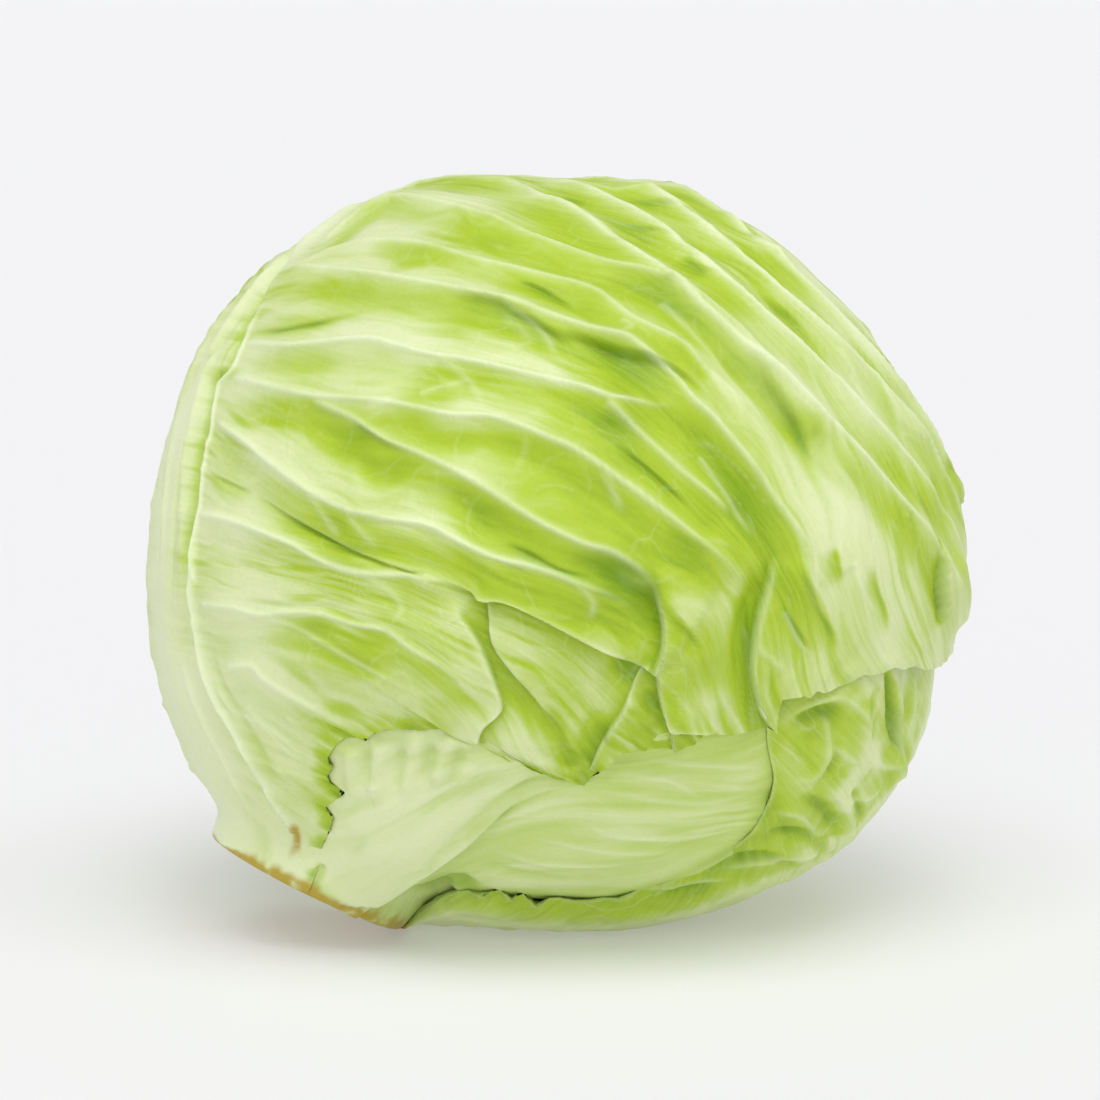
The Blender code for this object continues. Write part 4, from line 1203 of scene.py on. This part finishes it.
def build_leaf_d(material):
    """The crinkled leaf from beneath, which lies flat on the floor where it carries the head."""
    directions, across, along = leaf_d_net()
    relief = Relief(directions)
    stroke_leaf_d(relief)
    flow = np.stack([110 * MM * (along - 0.35 * np.abs(across)), 60 * MM * np.abs(across)], 1)
    drape(relief, flow, amount=0.4, seed=31)
    shown = np.maximum(mound(relief.flat, at(76, 194), 26, 46), mound(relief.flat, at(45, 225), 44, 62))
    shown = np.maximum(shown, 0.62 * mound(relief.flat, one(815, 770), 12, 30))
    crinkle = noise(relief.flat * 17, 41) + 0.6 * noise(relief.flat * 31, 42)
    relief.lift += 0.55 * MM * crinkle * shown
    # The crinkles' hollows get painted shade in deep green, and the whole leaf is a little paler.
    relief.deep += 0.3 * np.maximum(-crinkle, 0) - 0.18
    shape_margin_d(relief, across, along)
    distance, place, _, _ = nearest(relief.flat, curve(polar(LEAF_D_RIB), 24))
    rib = bell(distance, (9 - 5 * place) * MM)
    relief.white_and_light += 0.9 * rib + 0.8 * bell(from_stump(relief.flat) - 12, 12)
    relief.brown += stump_brown(relief.flat)
    base = skin(relief.flat) - LEAF_D_HIDDEN_DEPTH * (1 - shown) + 0.5 * flare(relief.flat)
    base += 0.7 * (3.5 - 3 * place) * MM * rib
    base = np.minimum(base, floor_radius(relief.flat) - relief.lift)
    outer, inner = faces_of(relief, base, 0.7 * MM, across)
    outer[..., 2] = np.maximum(outer[..., 2], 0)
    inner[..., 2] = np.maximum(inner[..., 2], 0.4 * MM)
    return leaf_sheet("leaf_d_sheet", outer, inner, relief, flow, material)


# Leaf b, leaf c's counterpart behind, with stations as leaf c's.
LEAF_B_NET = (160, 80, 70)
LEAF_B_RIB = [(BASE_ANGLE, -64), (35, -68), (60, -76), (85, -86)]
LEAF_B_STATIONS = (
    ((BASE_ANGLE, -88), (BASE_ANGLE, -64), (BASE_ANGLE, -44)),
    ((26, -98), (27, -66), (26, -36)),
    ((42, -108), (44, -71), (42, -38)),
    ((58, -112), (61, -77), (58, -46)),
    ((73, -112), (77, -84), (73, -58)),
    ((84, -108), (89, -90), (84, -70)),
)


def build_leaf_b(material):
    """The leaf behind, mostly under leaf a."""
    stations = [polar(station) for station in LEAF_B_STATIONS]
    directions, across, along = leaf_net(stations, *LEAF_B_NET)
    relief = Relief(directions)
    flow = np.stack([70 * MM * (along - 0.5 * np.abs(across)), 50 * MM * np.abs(across)], 1)
    for away in range(24, 84, 10):
        for way in (-1, 1):
            turn = -66 - 0.2 * away
            line = polar([(away, turn), (away + 6, turn + way * 10), (away + 14, turn + way * 20)])
            relief.fold(line, 0.8, 4, 3, 0.5, 0.3)
            relief.vein_line(line, 0.6, 1.2)
    drape(relief, flow, amount=0.6, seed=51)
    distance, place, _, _ = nearest(relief.flat, curve(polar(LEAF_B_RIB), 20))
    swell = (3 - 2.4 * place) * MM * bell(distance, (10 - 5 * place) * MM)
    relief.white_and_light += bell(distance, (13 - 6 * place) * MM) + 0.5 * (1 - smooth(along, 0.2, 0.8))
    relief.brown += stump_brown(relief.flat)
    deep = LEAF_B_DEPTH + HIDDEN_DEPTH * smooth(from_stump(relief.flat), 60, 80)
    base = skin(relief.flat) - deep + swell + 0.5 * flare(relief.flat)
    outer, inner = faces_of(relief, base, 0.9 * MM, across)
    return leaf_sheet("leaf_b_sheet", outer, inner, relief, flow, material)


# Colours of each leaf material: young leaf, green, deep green (also for painted shade), the whitest parts
# (also for painted light), the veins (also for painted highlights).
OUTER_COLOURS = ((0.71, 0.79, 0.42), (0.42, 0.575, 0.03), (0.145, 0.295, 0.001), (0.79, 0.85, 0.57),
                 (0.85, 0.92, 0.64))
PALE_COLOURS = ((0.70, 0.79, 0.39), (0.52, 0.66, 0.14), (0.28, 0.46, 0.02), (0.80, 0.86, 0.56),
                (0.84, 0.91, 0.62))
UNDER_COLOURS = ((0.72, 0.80, 0.42), (0.45, 0.61, 0.04), (0.15, 0.30, 0.001), (0.72, 0.79, 0.43),
                 (0.80, 0.88, 0.56))
LEAF_BROWN = (0.46, 0.35, 0.05)
PITH, PITH_SPOTS, CUT_BROWN = (0.60, 0.54, 0.26), (0.52, 0.43, 0.16), (0.45, 0.34, 0.09)

# The studio: the floor's flat part in metres, its colour and glow, the light all round, and each lamp's
# name, direction, spread in degrees and strength.
FLOOR_FLAT = 1.5
FLOOR_COLOUR = (0.645, 0.645, 0.662, 1)
FLOOR_GLOW = 0.22
SKY_LIGHT = 0.44
SUNS = (
    ("left box", (-0.16, -0.5, 1.0), 42, 0.98),
    ("right box", (0.22, -0.36, 0.95), 42, 0.85),
    ("front box", (-0.1, -1.0, 0.4), 50, 0.34),
    ("fill", (0.9, -0.1, 0.5), 60, 0.22),
)


def add_node(tree, kind, **settings):
    """A shader node with its settings."""
    node = tree.nodes.new(kind)
    for key, value in settings.items():
        setattr(node, key, value)
    return node


def mixed(tree, share, first, second):
    """A colour between two: each is a socket or three numbers, and the share is a socket."""
    mix = add_node(tree, "ShaderNodeMix", data_type="RGBA")
    for name, value in ((0, share), (6, first), (7, second)):
        if isinstance(value, bpy.types.NodeSocket):
            tree.links.new(value, mix.inputs[name])
        elif isinstance(value, tuple):
            mix.inputs[name].default_value = (*value, 1)
        else:
            mix.inputs[name].default_value = value
    return mix.outputs[2]


def math(tree, kind, first, second=0.0):
    """The result of a calculation on two values, each a socket or a number."""
    node = add_node(tree, "ShaderNodeMath", operation=kind)
    for k, value in enumerate((first, second)):
        if isinstance(value, bpy.types.NodeSocket):
            tree.links.new(value, node.inputs[k])
        else:
            node.inputs[k].default_value = value
    return node.outputs[0]


def noise_of(tree, vector, scale, detail):
    """Noise from 0 to 1 at a vector."""
    node = add_node(tree, "ShaderNodeTexNoise")
    node.inputs["Scale"].default_value = scale
    node.inputs["Detail"].default_value = detail
    tree.links.new(vector, node.inputs["Vector"])
    return node


def ramp_of(tree, value, low, high):
    """A value mapped from low to high onto 0 to 1, softly."""
    node = add_node(tree, "ShaderNodeMapRange", interpolation_type="SMOOTHSTEP")
    tree.links.new(value, node.inputs["Value"])
    node.inputs["From Min"].default_value = low
    node.inputs["From Max"].default_value = high
    return node.outputs["Result"]


def new_material(name):
    """A material, with its node tree and its shader."""
    material = bpy.data.materials.new(name)
    material.use_nodes = True
    return material, material.node_tree, material.node_tree.nodes["Principled BSDF"]


def scaled(tree, vector, factors):
    """A vector with each part multiplied by its own factor."""
    node = add_node(tree, "ShaderNodeVectorMath", operation="MULTIPLY")
    node.inputs[1].default_value = factors
    tree.links.new(vector, node.inputs[0])
    return node.outputs[0]


def cell_edges(tree, vector, scale, width):
    """1 on the edges of a net of cells, fading within a width."""
    cells = add_node(tree, "ShaderNodeTexVoronoi", voronoi_dimensions="2D", feature="DISTANCE_TO_EDGE")
    cells.inputs["Scale"].default_value = scale
    tree.links.new(vector, cells.inputs["Vector"])
    return ramp_of(tree, cells.outputs["Distance"], width, 0.0)


def add_bump(tree, shader, height, strength, distance):
    """Small relief on a shader from a height."""
    bump = add_node(tree, "ShaderNodeBump")
    bump.inputs["Strength"].default_value = strength
    bump.inputs["Distance"].default_value = distance
    tree.links.new(height, bump.inputs["Height"])
    tree.links.new(bump.outputs["Normal"], shader.inputs["Normal"])


def vein_net(tree, flow, place, size, strength):
    """The fine net of veins, in cells of a size along and across the main veins, stronger in patches."""
    stretch = scaled(tree, flow, (1000 / size[0], 1000 / size[1], 1))
    bent = add_node(tree, "ShaderNodeVectorMath", operation="MULTIPLY_ADD")
    bent.inputs[1].default_value = (1.1, 1.1, 0)
    tree.links.new(noise_of(tree, place, 70, 3).outputs["Color"], bent.inputs[0])
    tree.links.new(stretch, bent.inputs[2])
    net = cell_edges(tree, bent.outputs[0], 1, 0.055)
    fine = cell_edges(tree, bent.outputs[0], 3.1, 0.09)
    patchy = ramp_of(tree, noise_of(tree, place, 45, 2).outputs["Fac"], 0.35, 0.7)
    net = math(tree, "MULTIPLY", math(tree, "MULTIPLY", net, patchy), strength)
    return math(tree, "ADD", net, math(tree, "MULTIPLY", fine, 0.2 * strength))


def leaf_material(name, colours, net_size=(7, 12), net_strength=0.13, roughness=0.42):
    """Leaf skin: green that deepens in the hollows, where shade is painted, pale veins with a fine net
    between them, and painted highlights in the vein colour.
    """
    young, green, deep, white_and_light, vein_and_highlight = colours
    material, tree, shader = new_material(name)
    look = add_node(tree, "ShaderNodeAttribute", attribute_name="look")
    parts = add_node(tree, "ShaderNodeSeparateColor")
    tree.links.new(look.outputs["Color"], parts.inputs["Color"])
    flow = add_node(tree, "ShaderNodeAttribute", attribute_name="flow").outputs["Vector"]
    place = add_node(tree, "ShaderNodeTexCoord").outputs["Object"]
    plain = math(tree, "SUBTRACT", 1.0, parts.outputs["Blue"])
    net = math(tree, "MULTIPLY", vein_net(tree, flow, place, net_size, net_strength), plain)
    mottle = noise_of(tree, place, 28, 4).outputs["Fac"]
    depth = math(tree, "MULTIPLY", math(tree, "SUBTRACT", mottle, 0.5), 0.45)
    depth = math(tree, "ADD", parts.outputs["Green"], depth)
    fibre = noise_of(tree, scaled(tree, flow, (1000, 80, 1)), 1.0, 3).outputs["Fac"]
    strand = math(tree, "MULTIPLY", math(tree, "SUBTRACT", fibre, 0.5), plain)
    depth = math(tree, "ADD", depth, math(tree, "MULTIPLY", strand, 0.42))
    colour = mixed(tree, ramp_of(tree, depth, -0.1, 0.55), young, green)
    colour = mixed(tree, ramp_of(tree, depth, 0.45, 1.15), colour, deep)
    colour = mixed(tree, parts.outputs["Blue"], colour, white_and_light)
    lines = math(tree, "MAXIMUM", parts.outputs["Red"], net)
    colour = mixed(tree, math(tree, "MULTIPLY", lines, 0.8), colour, vein_and_highlight)
    grain = noise_of(tree, place, 900, 2).outputs["Fac"]
    specks = math(tree, "MULTIPLY", ramp_of(tree, grain, 0.45, 0.75), 0.05)
    colour = mixed(tree, specks, colour, deep)
    lumps = noise_of(tree, place, 260, 3).outputs["Fac"]
    brown = math(tree, "MULTIPLY", look.outputs["Alpha"], ramp_of(tree, lumps, 0.1, 0.5))
    tree.links.new(mixed(tree, brown, colour, LEAF_BROWN), shader.inputs["Base Color"])
    shader.inputs["Specular IOR Level"].default_value = 0.24
    gloss = math(tree, "ADD", roughness - 0.07, math(tree, "MULTIPLY", mottle, 0.16))
    tree.links.new(gloss, shader.inputs["Roughness"])
    height = math(tree, "ADD", net, math(tree, "MULTIPLY", grain, 0.18))
    height = math(tree, "ADD", height, math(tree, "MULTIPLY", lumps, 0.5))
    height = math(tree, "ADD", height, math(tree, "MULTIPLY", strand, 0.8))
    add_bump(tree, shader, height, 0.55, 0.4 * MM)
    return material


def stump_material():
    """The cut stalk: pith with fibres, browned at its rim."""
    material, tree, shader = new_material("cut stump")
    place = add_node(tree, "ShaderNodeTexCoord").outputs["Object"]
    look = add_node(tree, "ShaderNodeAttribute", attribute_name="look")
    spots = noise_of(tree, place, 220, 5).outputs["Fac"]
    colour = mixed(tree, ramp_of(tree, spots, 0.35, 0.7), PITH, PITH_SPOTS)
    colour = mixed(tree, math(tree, "MULTIPLY", look.outputs["Alpha"], 0.85), colour, CUT_BROWN)
    tree.links.new(colour, shader.inputs["Base Color"])
    shader.inputs["Roughness"].default_value = 0.62
    add_bump(tree, shader, noise_of(tree, place, 500, 4).outputs["Fac"], 0.6, 0.6 * MM)
    return material


def ball_net(away, turn):
    """Directions at each of these degrees from the stump and degrees of turn."""
    return polar([(a, t) for a in away for t in turn]).reshape(len(away), len(turn), 3)


def build_stump(material):
    """The finely uneven cut face with a ragged brown rim, over the stalk's plug."""
    directions = ball_net(np.linspace(0.01, STUMP_ANGLE + 0.3, 60), np.linspace(0, 360, 181))
    radius = cut_radius(directions) - 0.25 * MM
    radius = radius + 0.25 * MM * noise(directions * 60, 5) + 0.12 * MM * noise(directions * 160, 6)
    outer = CENTRE + directions * radius[..., None]
    inner = CENTRE + directions * (skin(directions) - HEART_DEPTH - 3 * MM)[..., None]
    look = np.zeros((*radius.shape, 4))
    look[..., 3] = smooth(from_stump(directions), 9, 12.8) * (0.6 + 0.4 * noise(directions * 30, 7))
    return [sheet("stump_cut", outer, inner, look, np.zeros((*radius.shape, 2)), material)]


def build_heart(material):
    """The tight inner head."""
    away, turn = np.linspace(0.5, 179.5, 90), np.linspace(0, 360, 121)
    directions = ball_net(away, turn)
    radius = skin(directions) - HEART_DEPTH - 6 * MM * bell(from_stump(directions), 38)
    radius += 0.5 * MM * noise(directions * 8, 61)
    outer = CENTRE + directions * radius[..., None]
    inner = CENTRE + directions * (radius - 3 * MM)[..., None]
    look = np.zeros((*radius.shape, 4))
    look[..., 1] = 0.35
    flow = np.stack(np.meshgrid(30 * MM * np.radians(turn), 80 * MM * np.radians(away)), -1)
    return [sheet("heart_sheet", outer, inner, look, flow, material)]


def build_floor():
    """A pale floor that rises gently far away on all sides, so that it is the backdrop as well."""
    rings = [FLOOR_FLAT] + [FLOOR_FLAT + 1.3 ** k for k in range(1, 16)]
    rises = [0.3 * max(ring - 2, 0) ** 2 / 60 for ring in rings]
    turns = np.radians(np.arange(0, 360, 7.5))
    points = [(r * np.cos(t), r * np.sin(t), z) for r, z in zip(rings, rises) for t in turns]
    count = len(turns)
    faces = [tuple(range(count))]
    for low in range(0, (len(rings) - 1) * count, count):
        for k in range(count):
            after = (k + 1) % count
            faces.append((low + k, low + count + k, low + count + after, low + after))
    mesh = bpy.data.meshes.new("floor")
    mesh.from_pydata(points, [], faces)
    mesh.shade_smooth()
    floor = add_object("floor", mesh)
    material, _, shader = new_material("floor")
    shader.inputs["Base Color"].default_value = FLOOR_COLOUR
    shader.inputs["Emission Color"].default_value = (1, 1, 0.99, 1)
    shader.inputs["Emission Strength"].default_value = FLOOR_GLOW
    shader.inputs["Roughness"].default_value = 0.8
    shader.inputs["Specular IOR Level"].default_value = 0.2
    mesh.materials.append(material)


def add_sun(name, toward, spread, strength):
    """A broad soft light from one side, the same all over the floor."""
    light = bpy.data.lights.new(name, "SUN")
    light.angle = np.radians(spread)
    light.energy = strength
    add_object(name, light).rotation_euler = Vector(toward).to_track_quat("Z", "Y").to_euler()


def build_studio():
    """The floor, the soft light and the camera at the front view's angle."""
    build_floor()
    world = bpy.data.worlds.new("studio")
    world.use_nodes = True
    background = world.node_tree.nodes["Background"]
    background.inputs["Color"].default_value = (1, 1, 1, 1)
    background.inputs["Strength"].default_value = SKY_LIGHT
    bpy.context.scene.world = world
    for sun in SUNS:
        add_sun(*sun)
    data = bpy.data.cameras.new("camera")
    data.sensor_width = 36
    data.lens = data.sensor_width * VIEW_DISTANCE / VIEW_UNIT / PICTURE
    data.shift_x = (PICTURE / 2 - VIEW_CENTRE[0]) / PICTURE
    data.shift_y = (VIEW_CENTRE[1] - PICTURE / 2) / PICTURE
    data.clip_start = 0.01
    camera = add_object("camera", data)
    axes = Matrix((RIGHT, UP, -AHEAD)).transposed()
    camera.matrix_world = Matrix.Translation(Vector(EYE)) @ axes.to_4x4()
    bpy.context.scene.camera = camera
    bpy.context.scene.view_settings.view_transform = "Standard"


def place_pieces(pieces, node):
    """The pieces stand for one node and move with the object."""
    for piece in pieces:
        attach(piece, "root")
        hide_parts(node)


def main():
    """The studio, and the leaves with their materials."""
    build_studio()
    green = leaf_material("outer leaf", OUTER_COLOURS)
    pale = leaf_material("pale leaf", PALE_COLOURS, net_size=(14, 22), net_strength=0.15, roughness=0.38)
    under = leaf_material("under leaf", UNDER_COLOURS, net_size=(8, 9), net_strength=0.3)
    place_pieces(build_leaf_a(green), "leaf_a")
    place_pieces(build_leaf_b(green), "leaf_b")
    place_pieces(build_leaf_c(pale), "leaf_c")
    place_pieces(build_leaf_d(under), "leaf_d")
    place_pieces(build_heart(pale), "heart")
    place_pieces(build_stump(stump_material()), "stump")


main()
